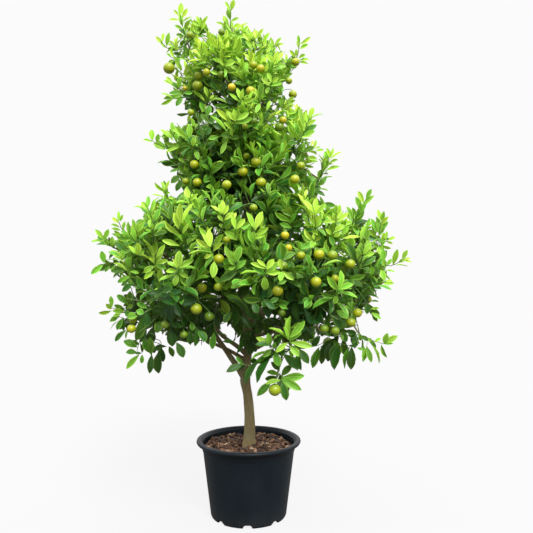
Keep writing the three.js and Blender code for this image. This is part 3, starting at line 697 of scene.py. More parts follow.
    ((376, 288), (386, 281), (385, 281, 381, 270, 70, 6), (382, 283, 394, 283.5, 85, 5),
     (385, 280, 392, 281, 80, 3), (377, 287.5, 391.5, 290, 55, 4.2)),
    ((364, 296), (372, 312), (368, 293, 379, 298.5, 30, 4), (372, 300, 379, 302, 50, 3),
     (368.5, 302, 367, 314, 25, 6), (370, 309, 379, 308, 75, 3), (370, 313, 381, 319, 70, 4)),
    ((338, 303), (338, 290), (338.5, 290, 327, 276, 68, 6.5), (340, 288, 340.5, 270, 71, 6.5),
     (340, 288.5, 353, 284, 71, 6.5), (340, 291, 352, 289, 68, 3), (340, 293, 357.5, 298.5, 68, 6),
     (338, 295, 334.5, 304, 68, 8), (335, 297, 321, 293.5, 50, 4), (334, 300, 312.5, 308.5, 45, 7),
     (337, 304, 348, 318, 55, 6.5)),
    ((318, 236), (314, 212), (316, 227, 309, 217.5, 90, 4.5), (317.5, 227, 321.5, 220, 80, 4.5),
     (316, 210, 316.5, 198, 85, 6), (318, 215, 326, 203.5, 70, 5), (312, 213, 302.5, 200.5, 90, 5),
     (312, 215, 309, 203.5, 85, 5)),
    ((316, 248), (314, 240), (312, 242, 304.5, 229, 95, 4), (315, 241, 321.5, 237, 95, 3.5),
     (314, 240, 313, 234, 95, 3)),
    ((338, 246), (336, 214), (333, 237.5, 325.5, 228.5, 100, 4), (335, 239, 341, 233.5, 100, 4.5),
     (336, 232, 343, 225.5, 90, 5), (336, 222, 333, 212.5, 95, 5), (338, 222, 349, 213, 85, 5.5),
     (340, 215, 340, 204.5, 85, 5), (335, 212, 336, 204.5, 65, 4), (334, 221, 327, 216, 85, 4),
     (342, 241.5, 360, 237, 95, 4), (344, 236, 349, 226.5, 75, 5)),
    ((364, 264), (363, 248), (363, 255, 371, 243, 70, 5), (363, 256, 361, 241.5, 75, 4),
     (364, 256.5, 374.5, 252.5, 75, 5), (362, 253, 357.5, 246, 60, 4), (360, 238, 366.5, 225, 80, 5)),
    ((291, 352), (289, 338), (289.3, 341.3, 290.4, 315.8, 79, 6.5), (290, 338, 304.9, 320.8, 74, 6.5),
     (290, 341, 301.6, 332.4, 71, 5), (291, 342.4, 312.7, 346.9, 71, 7), (289.9, 345.2, 299.3, 356.3, 74, 7),
     (286, 351.3, 293.2, 356.9, 68, 4), (286, 340, 268.8, 328.6, 74, 6), (286, 340, 283.5, 327, 79, 4),
     (285, 343, 276, 352, 74, 6), (300.4, 348, 308.8, 363.6, 20, 8), (300.5, 352, 301.6, 370.2, 15, 7)),
    ((276, 360), (269, 343), (271, 344.7, 268, 333, 68, 7), (268, 344.1, 256, 337.4, 74, 5.5),
     (273.8, 353.6, 278.8, 366.3, 55, 8), (271, 350, 262.7, 357, 63, 6), (271.6, 355.8, 254.9, 365.8, 55, 6),
     (268, 353.2, 251, 359.7, 50, 5), (270, 358, 257.1, 383, 10, 9), (257, 362, 245.5, 383.5, 7, 9),
     (283, 355.5, 300, 369, 20, 10)),
    ((281, 368), (281.5, 380), (282.7, 376.9, 304.3, 375.8, 63, 6.5), (284, 378, 301.6, 390.2, 60, 7),
     (282.5, 379.1, 292.1, 388.6, 50, 6), (282, 382, 286.6, 400.5, 20, 8),
     (279.5, 374.7, 266.6, 371.9, 63, 6), (280, 380.5, 265.4, 384.1, 65, 5.5),
     (269, 380.5, 257.1, 396, 30, 8), (279, 377, 265, 379, 30, 5), (280, 368, 271, 362, 20, 6),
     (281.5, 376, 292, 365, 30, 7)),
    ((312, 338), (350, 346), (326, 340, 322, 356, 10, 8), (318, 335, 312, 347, 10, 7),
     (333, 338, 327, 350, 15, 8), (336, 345, 331, 360, 15, 8), (317, 348, 312.7, 368, 40, 8.5),
     (322, 344, 321.6, 364, 15, 8), (330, 342, 328, 361.5, 10, 11), (331.5, 337, 339.5, 356, 50, 9),
     (339.9, 346, 334.3, 369.7, 15, 9), (340, 332, 346.5, 342, 15, 6), (343.5, 340, 347, 357, 20, 8),
     (350, 347, 345, 368.6, 50, 5.5), (354, 347, 351, 369.5, 15, 9.5)),
    ((350, 334), (384, 344), (359.5, 343, 360, 333.5, 45, 6.5), (362.5, 347, 363, 362, 60, 5),
     (366, 350, 363.8, 361, 60, 3.5), (365.5, 348, 371.3, 362.5, 40, 6), (371, 347, 379, 364, 45, 4.5),
     (380.5, 346, 387, 357.5, 45, 4), (383.8, 344, 387.7, 333, 66, 6), (384.5, 343.6, 397.7, 335.8, 68, 6),
     (384.5, 344, 393.2, 343.8, 50, 3.5), (371, 344, 368, 338, 70, 4), (374, 343, 381, 338.5, 85, 3.5)),
    ((330, 306), (332, 318), (338.5, 309, 347.6, 318.5, 60, 7), (329, 312, 329.5, 335, 20, 6),
     (332, 315, 342, 329, 20, 8)),
    ((140, 334), (137, 352), (124.7, 328.6, 115.2, 341.3, 40, 5.5), (136.5, 347, 123.5, 341, 40, 8),
     (137.5, 353.5, 126, 352.5, 30, 9), (140, 344.5, 130, 342.5, 25, 6), (141, 356, 126.3, 369, 60, 6.5),
     (144.5, 355.5, 141.5, 363.5, 55, 5), (141, 343, 142, 353, 20, 3), (144, 354, 135, 353.5, 30, 3)),
    ((146, 334), (152, 354), (150, 358, 149.5, 337, 50, 7), (149, 354, 143, 339.5, 35, 8),
     (151.5, 355, 149.5, 373.5, 15, 7), (147, 327, 140, 342.5, 10, 6), (153, 325.5, 150.5, 344, 5, 9),
     (154, 343, 154.5, 353, 10, 6)),
    ((166, 336), (160, 350), (158.5, 352, 158.6, 373.5, 10, 9.5), (161, 347, 161, 361.5, 35, 10),
     (166, 345.5, 155, 350, 15, 6), (171.5, 346.5, 173, 357, 30, 9), (163.5, 349, 163, 362, 5, 6)),
    ((166, 326), (176, 342), (170, 328, 172.5, 346.5, 10, 10), (177, 342.5, 183.6, 357.5, 10, 9),
     (157, 321, 157, 333, 35, 8)),
    ((190, 322), (198, 330), (191.9, 328, 190.5, 345, 15, 6), (194, 329, 195, 346.3, 15, 6),
     (198, 331, 206.3, 341.3, 15, 8), (193, 320, 192.5, 331, 35, 8)),
    ((208, 326), (219, 336), (212.5, 333, 212.2, 349.1, 40, 7), (219.5, 332.5, 227.5, 337, 25, 2),
     (223.5, 344, 233, 342.5, 15, 4.5)),
    ((242, 372), (243.5, 363), (243, 364, 226.3, 371.9, 10, 7), (244, 364.5, 236, 356, 35, 4)),
    ((127, 316), (119, 317), (123, 318, 117, 330, 40, 6), (119, 314, 111, 321, 45, 7),
     (118, 323, 110, 330, 50, 2.2), (127, 330, 126, 339, 50, 2.5), (124, 317, 124, 331, 15, 5)),
    ((146, 312), (138, 316), (144, 318, 136, 341, 20, 9), (137, 316, 127, 318, 45, 6),
     (134, 311, 128, 316, 35, 5), (135, 308, 144, 313.5, 50, 7), (148, 314, 146, 330, 5, 8),
     (146, 306, 137, 303, 35, 7)),
    ((252, 322), (249, 340, -60), (250, 333, 243.5, 337.5, 20, 4.5), (247, 336, 248, 349, 10, 8),
     (251.5, 340, 250, 355, 10, 9), (243, 336, 241, 348, 10, 6), (238.5, 337, 237, 353, 25, 4),
     (252, 331, 258, 345, 5, 8), (257, 343, 267.5, 341.5, 20, 6), (254, 344, 256, 352, 10, 6)),
    ((214, 130), (204, 109, 0.6), (208, 122, 200.5, 114, 35, 5), (206, 117, 210, 105.5, 40, 6),
     (204, 112, 200, 102, 55, 5), (210, 124, 216, 113, 30, 6), (207, 121, 214, 123, 25, 6),
     (211, 127, 203, 129.5, 25, 5)),
    ((251, 296), (249, 304, -90), (250, 299, 246, 313, 10, 8), (247, 303, 252.5, 316, 10, 7),
     (251, 301, 255, 311, 10, 6), (248, 297, 243, 306, 20, 5)),
    ((268, 312), (262, 322, -175), (256, 321, 262, 331, 5, 8), (262, 321, 257.5, 335, 5, 8),
     (268, 322, 266, 335, 5, 8), (272, 315, 282, 330, 5, 9), (274, 322, 270, 332, 5, 7),
     (263, 320, 272, 323, 5, 6)),
    ((262, 296), (264, 300), (262, 299, 243, 298, 35, 4), (263.5, 299, 264.7, 307.5, 30, 8),
     (282, 298, 270, 302, 30, 5), (250, 303, 258, 313, 5, 7), (266, 303, 275, 309, 10, 6)),
    ((236, 304), (233, 312), (232, 304, 233.5, 327, 10, 8), (229, 311, 224, 323, 20, 7),
     (243, 316, 250, 327, 5, 7), (245, 309, 252, 318, 10, 6)),
    ((205, 118), (190, 104, 0.6), (200, 104, 189, 101, 45, 6), (191, 104, 185, 110, 20, 6),
     (199, 108, 198, 99, 35, 5), (187, 115, 176.5, 114, 30, 2.5), (190, 116.5, 181, 117, 35, 2),
     (193, 109, 195.5, 117, 40, 4), (197, 115, 201, 123.5, 45, 5), (208, 109, 202, 119, 15, 7),
     (206, 117, 215, 121, 10, 6), (211, 104, 213, 113, 35, 6)),
    ((200, 98), (184, 93), (184, 93, 193, 93, 50, 4), (195, 97, 183, 96, 15, 5), (179, 93, 169, 93.5, 40, 5),
     (182, 100, 176, 106, 35, 6), (180, 96, 174, 98, 55, 3)),
    ((215, 130), (197, 128, 0.6), (205, 123, 194, 130.5, 15, 4), (207, 131, 196, 131.5, 30, 4),
     (203, 128, 198, 135, 30, 5), (213, 125, 206, 135, 15, 7), (214, 122, 222, 129, 20, 6)),
    ((228, 104), (218, 88, 0.4), (216, 92, 210, 83, 30, 5), (222, 93, 226, 83, 15, 5),
     (225, 99, 222, 89, 20, 5), (232, 98, 229, 87, 10, 5), (226, 101, 234, 104, 10, 6)),
    ((264, 112), (258, 97), (256.5, 99, 249.5, 90, 90, 2.5), (258, 97, 255, 88, 85, 2.6),
     (262, 95, 263, 83, 50, 7), (258, 104, 251.5, 101, 75, 6), (261, 103, 256, 113, 70, 5),
     (269, 111, 270.5, 100.5, 80, 3.6)),
    ((286, 116), (284, 100), (281, 108, 279.5, 96, 60, 5), (280, 97, 269, 94.5, 35, 3),
     (288, 117, 296.5, 112, 75, 2.6), (297, 119.5, 287, 118, 50, 3), (268, 125, 277, 118, 60, 4),
     (262, 121, 268, 113.5, 40, 7), (289, 106, 293, 103, 70, 3)),
    ((146, 262), (138, 255), (138, 255, 137.5, 242.5, 80, 8), (136, 255, 128.5, 246, 85, 4),
     (139, 256, 144, 250.5, 80, 4), (123, 250, 115, 243.5, 20, 8), (118, 257, 108, 252, 50, 4),
     (120, 262, 105.5, 260, 60, 3.5)),
    ((143, 248), (131, 238), (130, 238, 117, 238, 45, 3.5), (128, 236, 118, 235, 50, 4),
     (129, 240, 121, 231, 60, 6), (136, 241, 131.5, 227, 65, 5.5), (140, 238, 151, 232, 45, 4)),
    ((156, 236), (150, 228), (148, 226, 150, 219.5, 80, 3.5), (152, 230, 152.5, 223, 70, 3)),
    ((178, 224), (168, 214), (170, 212, 159, 205.5, 30, 4), (170, 220, 160, 210, 65, 5)),
    ((376, 274), (386, 264), (382, 258, 383, 249, 60, 6), (388, 268, 382.5, 259, 65, 6),
     (373, 278, 372, 266, 60, 5)),
    ((352, 262), (366, 250), (366, 238, 367, 228, 45, 7), (362, 264, 358, 250, 60, 5),
     (364, 262, 374, 254, 60, 4), (372, 250, 379, 238, 60, 3)),
    ((344, 282), (350, 276), (348, 277, 366, 275, 45, 4)),
    ((353, 326), (358, 345), (357, 341.5, 352, 342.5, 30, 2.6), (356.5, 350.5, 363, 350, 60, 4.5),
     (357, 346, 349, 345.5, 25, 2)),
    ((338, 320), (344, 334), (340, 331.5, 347, 341.5, 30, 7), (338.5, 333, 342.5, 341, 75, 2.5),
     (325, 324.5, 330, 337, 35, 6)),
    ((310, 184), (306, 178), (308, 177.5, 316, 179.8, 40, 3), (306.5, 179, 306.5, 170, 60, 2.6),
     (304.5, 163, 314, 167, 75, 3), (309, 156.5, 317, 159, 80, 5), (300, 172, 306, 173, 30, 3)),
    ((182, 66), (171, 57), (174.5, 57, 170, 49, 92, 5.5), (174, 60.5, 168, 63.5, 65, 4),
     (174.5, 61, 182, 70.5, 78, 4.5), (182, 56, 173.5, 53, 35, 4), (171, 58, 166.5, 53, 55, 2.5),
     (176, 78, 178, 70, 60, 5)),
    ((126, 314), (120, 313), (125, 312.5, 112.5, 311, 78, 6), (121, 316, 113, 316, 70, 3.5)),
    ((274, 352), (273, 346), (272, 351, 275.5, 342, 60, 4.5), (274.5, 350, 278, 353, 70, 3),
     (268.5, 346, 255.5, 344.8, 15, 5.5), (288, 366, 298, 371, 5, 4)),
    ((172, 346), (158, 348), (169, 347, 157, 347.5, 20, 3.5), (157.5, 352, 151.5, 348, 25, 5),
     (165, 329.5, 162, 334, 10, 3)),
    ((258, 326), (256, 316, -120), (263, 318, 250, 316, 10, 7), (255, 323, 262, 314, 5, 7)),
    ((244, 40), (242, 30), (243, 34, 242, 24, 85, 4), (244, 33, 248, 26, 80, 3.5)),
]

# the mean youth of each sprig's leaves
sprigYouth = np.array([np.mean([leaf[4] / 100 for leaf in sprig[2:]]) for sprig in sprigsSeen])

# Body of the crown in the photograph, without the shoots that stand out from it: pixels down, and across to
# its left and right edge
crownOutline = np.array([
    (0, 229, 232), (14, 226, 235), (20, 180, 237), (30, 178, 262), (40, 162, 275), (50, 165, 285),
    (60, 169, 303), (70, 164, 296), (80, 166, 289), (90, 168, 282), (100, 171, 291), (110, 183, 308),
    (120, 191, 314), (130, 160, 311), (140, 152, 313), (150, 157, 322), (160, 163, 335), (170, 174, 333),
    (180, 171, 326), (190, 176, 323), (200, 150, 323), (210, 143, 358), (220, 140, 378), (230, 107, 384),
    (240, 99, 388), (260, 100, 390), (270, 107, 388), (280, 118, 385), (290, 122, 383), (300, 112, 372),
    (310, 108, 370), (320, 112, 358), (330, 118, 351), (340, 124, 362), (350, 130, 362), (360, 140, 340),
])

# Painted light and shade in the crown: pixels across and down, how far it reaches in pixels, and how much
# younger the leaves are there; younger leaves are paler and paint light, below 0 older and darker leaves
# paint shade
paintedLightAndShade = np.array([
    (243, 190, 20, -0.5), (222, 176, 14, -0.25), (262, 192, 16, -0.35), (230, 208, 12, -0.2),
    (211, 150, 12, -0.15), (165, 128, 9, -0.15), (208, 130, 10, -0.25), (228, 148, 9, -0.15),
    (228, 104, 11, -0.2), (192, 108, 8, -0.15), (162, 286, 17, -0.3), (125, 345, 10, -0.25),
    (188, 328, 10, -0.2), (240, 368, 9, -0.15), (285, 248, 9, -0.2), (270, 248, 13, -0.2),
    (303, 268, 15, -0.3), (265, 305, 10, -0.2), (332, 272, 10, -0.18), (248, 286, 8, -0.15),
    (312, 226, 19, 0.42), (346, 226, 16, 0.36), (314, 210, 13, 0.25), (288, 226, 9, 0.15),
    (147, 248, 17, 0.45), (122, 258, 15, 0.22), (190, 250, 10, 0.15), (150, 268, 8, 0.2), (208, 240, 17, 0.4),
    (230, 226, 11, 0.36), (205, 80, 16, 0.45), (200, 30, 20, 0.12), (235, 25, 15, 0.1), (262, 50, 16, 0.25),
    (270, 107, 12, 0.42), (288, 112, 11, 0.28), (308, 167, 10, 0.5), (243, 128, 13, 0.42),
    (305, 130, 10, 0.24), (225, 320, 10, 0.36), (211, 286, 10, 0.28), (230, 285, 9, 0.25),
    (248, 270, 9, 0.22), (168, 180, 8, 0.15), (192, 50, 10, 0.12),
])

# Places in the crown where the photograph shows the background: pixels across and down, and radius
gapsSeen = np.array([
    (227, 334, 7), (315, 168, 5.5), (161, 339, 5.5), (177, 190, 5), (217, 12, 7), (214, 27, 4), (345, 340, 3),
])

# Places where leafage closes the crown behind its front leaves: pixels across and down, and youth
backPlaces = np.array([
    (179, 70, 0.6), (181, 38, 0.8), (306, 182, 0.3), (299, 204, 0.5), (327, 222, 0.4), (264, 348, 0.2),
    (209, 112, 0.2), (222, 130, 0.5), (238, 341, 0.1), (325, 211, 0.6), (169, 138, 0.6), (207, 121, 0.1),
    (312, 197, 0.4), (214, 294, 0.2), (121, 274, 0.4), (132, 289, 0.4), (240, 327, 0.1), (185, 31, 0.7),
    (201, 92, 0.3), (252, 42, 0.7), (177, 129, 0.5), (296, 191, 0.4), (286, 289, 0.1), (277, 315, 0.05),
    (351, 343, 0.3), (343, 329, 0.3), (343, 339, 0.25), (322, 338, 0.1), (334, 338, 0.1), (226, 118, 0.2),
    (206, 114, 0.15), (203, 121, 0.1), (213, 124, 0.2), (218, 133, 0.2), (223, 138, 0.3), (199, 105, 0.3),
    (218, 100, 0.15), (196, 101, 0.3), (232, 112, 0.1), (225, 72, 0.2), (196, 118, 0.15),
])

# Places where the photograph shows the leader between the tiers: pixels across and down, and radius
leaderSeen = np.array([(248, 200, 2.5), (247, 205, 3.2), (246, 210, 3.6), (245.5, 215, 3.6)])
leaderDepthAt = 800.0  # the height at which the leader's depth is taken there

fitted = {
    "shootMargin": 6,     # pixels inside the outline within which a shoot's tip stays
    "lowest": 346,
    "nearest": -419,      # no leaf comes further to the front than this
    "gapShare": 0.9,      # share of a gap's radius that stems leave open
    "fruitShare": (0.25, 0.75),  # share of a fruit's radius kept open, and more where it shows freely
    "ribWidth": 0.8,      # pixels on each side of a seen leaf's rib that other leaves leave open
}

sighted = {
    "seed": 24,
    "ages": (0.15, 0.5, 0.85),  # youth of a sprig of old, middling and young leaves
    "reach": (0.82, 0.84, 1.15),  # and how far in front of the spray's heart each ends, in its spread
    "tipReach": 0.84,     # at this reach the lines of sight find their spray
    "footShare": 0.6,     # the stem's foot lies this share of the tip's reach in front of the heart
    "woodShare": 0.7,     # the same for a sprig that grows from a limb, as a share of the tip's depth
    "woodFrom": 420,      # no sprig grows from the leader below this
    "farthest": 1.05,
    "nearest": -412,      # no further to the front than this
    "lean": (-0.2, 0.45),  # how far a leaf comes towards the eye, as a share of its length in the picture
    "broadest": 1.6,
    "leastWidth": 0.25,
    "turnedDown": 0.3,    # share of the leaves that are rolled away from the light
    "youngest": 0.93,
    "ageVary": 0.04,
    "lit": 0.35,          # how far the upper face turns from the eye to the light
    "earlier": 6,         # a blade begins this far before its foot in the picture, on the stem's side
    "wider": 1.1,         # makes up for the fold and the bow, which narrow a leaf in the picture
    "fillSeed": 25,
    "fillFirst": 0.4,
    "fillYouth": -0.2,    # the leaves that fill up a sprig, against those that the photograph shows
    "fillNear": 4.5,      # they stay this close to the leaves that the photograph shows, in pixels
    "fallsFrom": 4,       # from this mean drop of its leaves, in pixels, a sprig counts as hanging
    "fallen": 0.45,
    "radiusTip": 0.8,
    "radiusFoot": 1.2,
    "clearRadius": 0.4,   # share of a leaf's width that is kept clear on each side of its rib
}

leafShape = {
    "rows": (-0.1, 0.02, 0.14, 0.32, 0.52, 0.72, 0.88, 1.0),
    "columns": (-1, -0.5, 0, 0.5, 1),
    "length": 43,
    "lengthShare": (0.5, 0.2),  # at most this share of the spray's spread, and more where the spray hangs
    "lengthVary": 0.36,
    "halfWidth": (0.17, 0.23),  # of its length, on the youngest and the oldest leaf
    "widthVary": (0.86, 0.28),
    "topNarrow": 0.92,    # the top tier's leaves are this much narrower
    "narrowFrom": (850, 1150),
    "widest": 1.22,       # power that moves the widest place towards the tip
    "fullness": 0.82,
    "stalkWidth": 0.06,
    "fold": (0.2, 0.65),  # least and most fold along the rib, in radians
    "foldByYouth": 0.3,   # the rest is chance
    "bend": (0.1, 0.8),   # least and most bend from base to tip, in radians
    "bendByAge": 0.4,     # the rest is chance
    "twist": 0.35,
    "wave": 0.02,
    "waves": 15,          # how closely the waves of the edge follow each other
    "lightLean": 0.5,     # how far the upper face turns to the light
    "roll": 0.5,
}

leafRows, leafColumns = len(leafShape["rows"]), len(leafShape["columns"])
leafCorners = leafRows * leafColumns
leafMiddle = leafColumns // 2
leafTip = leafCorners - 1 - leafMiddle
leafQuads = gridFaces(leafRows, leafColumns)[:, [0, 3, 2, 1]]


def firstMet(pixels, reach, farthest):
    # the spray that each pixel's line of sight meets first, or else the one that it misses by least
    sight = sightOf(pixels)[:, None]
    along = ((hearts[None] - eye) * sight).sum(-1)
    miss = np.linalg.norm(eye + sight * along[..., None] - hearts[None], axis=-1) / spreads
    depth = along - spreads * np.sqrt(np.maximum(miss, reach) ** 2 - miss**2)
    return np.where(miss < farthest, depth, 1e5 * (1 + miss)).argmin(1)


def nearSide(pixels, bearer, reach):
    # the place on each pixel's line of sight that is reach times the spread in front of the spray's heart,
    # or the place closest to the heart where the line passes further off
    sight = sightOf(pixels)
    along = ((hearts[bearer] - eye) * sight).sum(-1)
    miss = np.linalg.norm(eye + sight * along[:, None] - hearts[bearer], axis=-1)
    far = np.maximum(miss, spreads[bearer] * reach)
    nearest = (sighted["nearest"] - eye[1]) / sight[:, 1]
    return eye + sight * np.maximum(along - np.sqrt(far**2 - miss**2), nearest)[:, None]


def atDepth(pixels, depth):
    # the place on each pixel's line of sight at a depth along y
    sight = sightOf(pixels)
    return eye + sight * ((depth - eye[1]) / sight[:, 1])[:, None]


def nearestHeart(points):
    return np.linalg.norm(points[:, None] - hearts[None], axis=-1).argmin(1)


def sprayShoots():
    # shoots that stand round each heart in the directions of the solids' leaves and turn up to the light,
    # or down on a hanging spray
    random = np.random.default_rng(shoots["seed"])
    count, per = len(hearts), shoots["perSpray"]
    ways = sprayWays(per)
    ways = unit(ways + random.normal(0, shoots["wander"], ways.shape))
    spread, lift = spreads[:, None, None], np.clip(lifts, -1, 1)[:, None, None]
    low, more = shoots["rise"]
    rise = up * (low + more * np.where(lift < 0, lift * shoots["hang"], lift))
    feet = hearts[:, None] + (ways * shoots["scatter"] - rise * shoots["low"]) * spread
    reach = shoots["reach"] * (1 + shoots["reachVary"] * (random.random((count, per, 1)) - 0.5))
    heading = unit(ways * shoots["outward"] + rise)
    tips = feet + heading * reach * spread
    out = unit(hearts - leaderAt(hearts[:, 2]))[:, None]
    youth = youthOf["least"]
    for low, high, more in youthOf["rises"]:
        youth = youth + more * smoothStep(low, high, hearts[:, None, 2:])
    youth = youth + youthOf["lift"] * lift
    youth = youth + youthOf["upward"] * ways[..., 2:] + youthOf["outward"] * dot(ways, out)
    # painted light and shade shifts the youth, and so the colour, of each shoot's leaves
    youth = youth + random.normal(0, youthOf["vary"], youth.shape) + paintedLightShift(tips)[..., None]
    stays = random.random(count * per) > np.repeat(shoots["thinned"] * np.clip(-lifts, 0, 1), per)
    stays &= insideOutline(tips, fitted["shootMargin"]).ravel()
    starts = np.broadcast_to(hearts[:, None], feet.shape)
    flat = [rows.reshape(-1, rows.shape[-1])[stays] for rows in (starts, feet, tips, youth)]
    owner = np.repeat(np.arange(count), per)[stays]
    return (*flat[:3], flat[3][:, 0], owner, np.clip(-lifts[owner], 0, 1))


def paintedLightShift(points):
    # painted light and shade: how much younger and paler, or below 0 older and darker, the leaves are made at
    # each point, as the sum of soft round places in the picture
    apart = apartFrom(pixelOf(points), paintedLightAndShade)
    return (paintedLightAndShade[:, 3] * np.exp(-((apart / paintedLightAndShade[:, 2]) ** 2))).sum(-1)


def apartFrom(seen, places):
    # how far points are seen from each of the places, in pixels
    return np.linalg.norm(seen[..., None, :2] - places[:, :2], axis=-1)


def inGrid(blades):
    return blades.reshape(-1, leafRows, leafColumns, 3)


def clearOfLeader(seen):
    # True for a leaf that doesn't hide the leader where the photograph shows it
    depth = pixelOf(leaderAt(np.array([leaderDepthAt])))[0, 2]
    hiding = (apartFrom(seen, leaderSeen) < leaderSeen[:, 2]).any(2) & (seen[..., 2] < depth)
    return ~hiding.any(1)


def insideOutline(points, margin=0):
    # True where points are seen inside the crown's outline by a margin in pixels
    seen = pixelOf(points)
    across, down = seen[..., 0], seen[..., 1]
    left, right = (np.interp(down, crownOutline[:, 0], crownOutline[:, side]) for side in (1, 2))
    return (across > left + margin) & (across < right - margin) & (down < fitted["lowest"] - margin)


def seenStems():
    # stems placed by their pixels: from the spray's heart past the foot to the tip
    feet = np.array([sprig[0] for sprig in sprigsSeen], float)
    ends = np.array([sprig[1][:2] for sprig in sprigsSeen], float)
    more = np.array([sprig[1][2] if len(sprig[1]) > 2 else 1 for sprig in sprigsSeen], float)
    onWood = (more < 0)[:, None]
    owner = firstMet(ends, sighted["tipReach"], sighted["farthest"])
    reach = np.interp(sprigYouth, sighted["ages"], sighted["reach"]) * np.maximum(more, 0)
    onLimb = atDepth(feet, more * sighted["woodShare"])
    foot = np.where(onWood, onLimb, nearSide(feet, owner, reach * sighted["footShare"]))
    tips = np.where(onWood, atDepth(ends, more), nearSide(ends, owner, reach))
    owner = np.where(more < 0, nearestHeart(tips), owner)
    return np.where(onWood, woodNear(tips, 0, sighted["woodFrom"]), hearts[owner]), foot, tips, owner


def seenLeaves(made):
    # leaves placed by their pixels: each from the nearest place on its stem to the line of sight of its tip,
    # rolled about its rib until it looks as wide as it does in the photograph
    random = np.random.default_rng(sighted["seed"])
    lines = bezier(*made[:3], np.linspace(0, 1, 61))
    rows = np.array([(index, *leaf) for index, sprig in enumerate(sprigsSeen) for leaf in sprig[2:]], float)
    stem, youth, wide = rows[:, 0].astype(int), rows[:, 5] / 100, rows[:, 6]
    foot, tip = rows[:, 1:3], rows[:, 3:5]
    apart = np.linalg.norm(pixelOf(lines)[stem][..., :2] - foot[:, None], axis=-1)
    stalks = lines[stem, apart.argmin(1)]
    depth = stalks[:, 1] - eye[1]
    roots = atDepth(foot, stalks[:, 1])
    back = stalks - roots
    far = np.linalg.norm(back, axis=1)
    roots = roots + back * (np.minimum(0.6 * far, sighted["earlier"]) / np.maximum(far, 1e-6))[:, None]
    span = np.linalg.norm(tip - foot, axis=1) * depth / view["focalPixels"]
    nearer = np.maximum(roots[:, 1] - span * random.uniform(*sighted["lean"], len(rows)), sighted["nearest"])
    chord = atDepth(tip, nearer) - roots
    length = np.linalg.norm(chord, axis=1)
    chord = unit(chord)
    age = np.clip(1 - youth + random.normal(0, sighted["ageVary"], len(rows)), 1 - sighted["youngest"], 1)
    turn = random.random((4, len(rows)))
    owner = made[3][stem]
    natural = 2 * length * leafHalf(age, turn[3], owner) * view["focalPixels"] / depth
    wide = wide * sighted["wider"]
    broad = np.clip(wide / natural, 1, sighted["broadest"])
    roll = np.arccos(np.clip(wide / (natural * broad), sighted["leastWidth"], 1))
    facing = squareTo(up * sighted["lit"] - sightOf(tip), chord)
    either = np.stack([turned(facing, chord, roll), turned(facing, chord, -roll)])
    upper = (either[0, :, 2] > either[1, :, 2]) != (random.random(len(rows)) < sighted["turnedDown"])
    face = np.where(upper[:, None], either[0], either[1])
    half = (leafBow(turn[0], age) / 2)[:, None]
    return {
        "stalk": stalks,
        "root": roots,
        "way": chord * np.cos(half) + face * np.sin(half),
        "face": face * np.cos(half) - chord * np.sin(half),
        "length": length * half[:, 0] / np.sin(half[:, 0]),
        "age": age,
        "owner": owner,
        "broad": broad,
        "tone": random.random(len(rows)),
        "turn": turn,
    }


def sprigFillers():
    # the same stems with more leaves all round them, a little older than those that are seen
    drops = np.array([np.mean([leaf[3] - leaf[1] for leaf in sprig[2:]]) for sprig in sprigsSeen])
    hang = np.where(drops > sighted["fallsFrom"], sighted["fallen"], 0.0)
    bases, bends, tips, owner = onSight
    return bases, bends, tips, sprigYouth + sighted["fillYouth"], owner, hang


def nearSeen(blades, seenBlades):
    # True for a leaf whose tip and middle are seen close to a leaf that the photograph shows
    probe = pixelOf(inGrid(blades)[:, [4, 7], leafMiddle])
    ribs = pixelOf(inGrid(seenBlades)[:, 1:, leafMiddle]).reshape(-1, 3)
    return (apartFrom(probe, ribs).min(2) < sighted["fillNear"]).all(1)


def clearOfGaps(seen, share=1):
    # True for what leaves the gaps in the crown open, or a share of their radius
    return ~(apartFrom(seen, gapsSeen) < gapsSeen[:, 2] * share).any((1, 2))


def backShoots():
    # twigs from a spray's heart across the line of sight of each place, in the depth of the heart
    places, youth = backPlaces[:, :2], backPlaces[:, 2]
    owner = firstMet(places, sighted["tipReach"], sighted["farthest"])
    tips = nearSide(places, owner, 0) + sightOf(places) * backTwigs["beyond"] * spreads[owner][:, None]
    bends = (hearts[owner] + tips) / 2 - up * backTwigs["sag"]
    return hearts[owner], bends, tips + up * backTwigs["rise"], youth, owner, np.zeros(len(owner))


def woodNear(points, firstRing=7, lowest=600):
    # the place on a limb beyond its first rings, or on the leader, that is nearest to each point
    heights = np.arange(lowest, leaderPoints[-1, 2], 20.0)
    places = np.concatenate([limbLines[:, firstRing:].reshape(-1, 3), leaderAt(heights)])
    return places[np.linalg.norm(points[:, None] - places[None], axis=-1).argmin(1)]


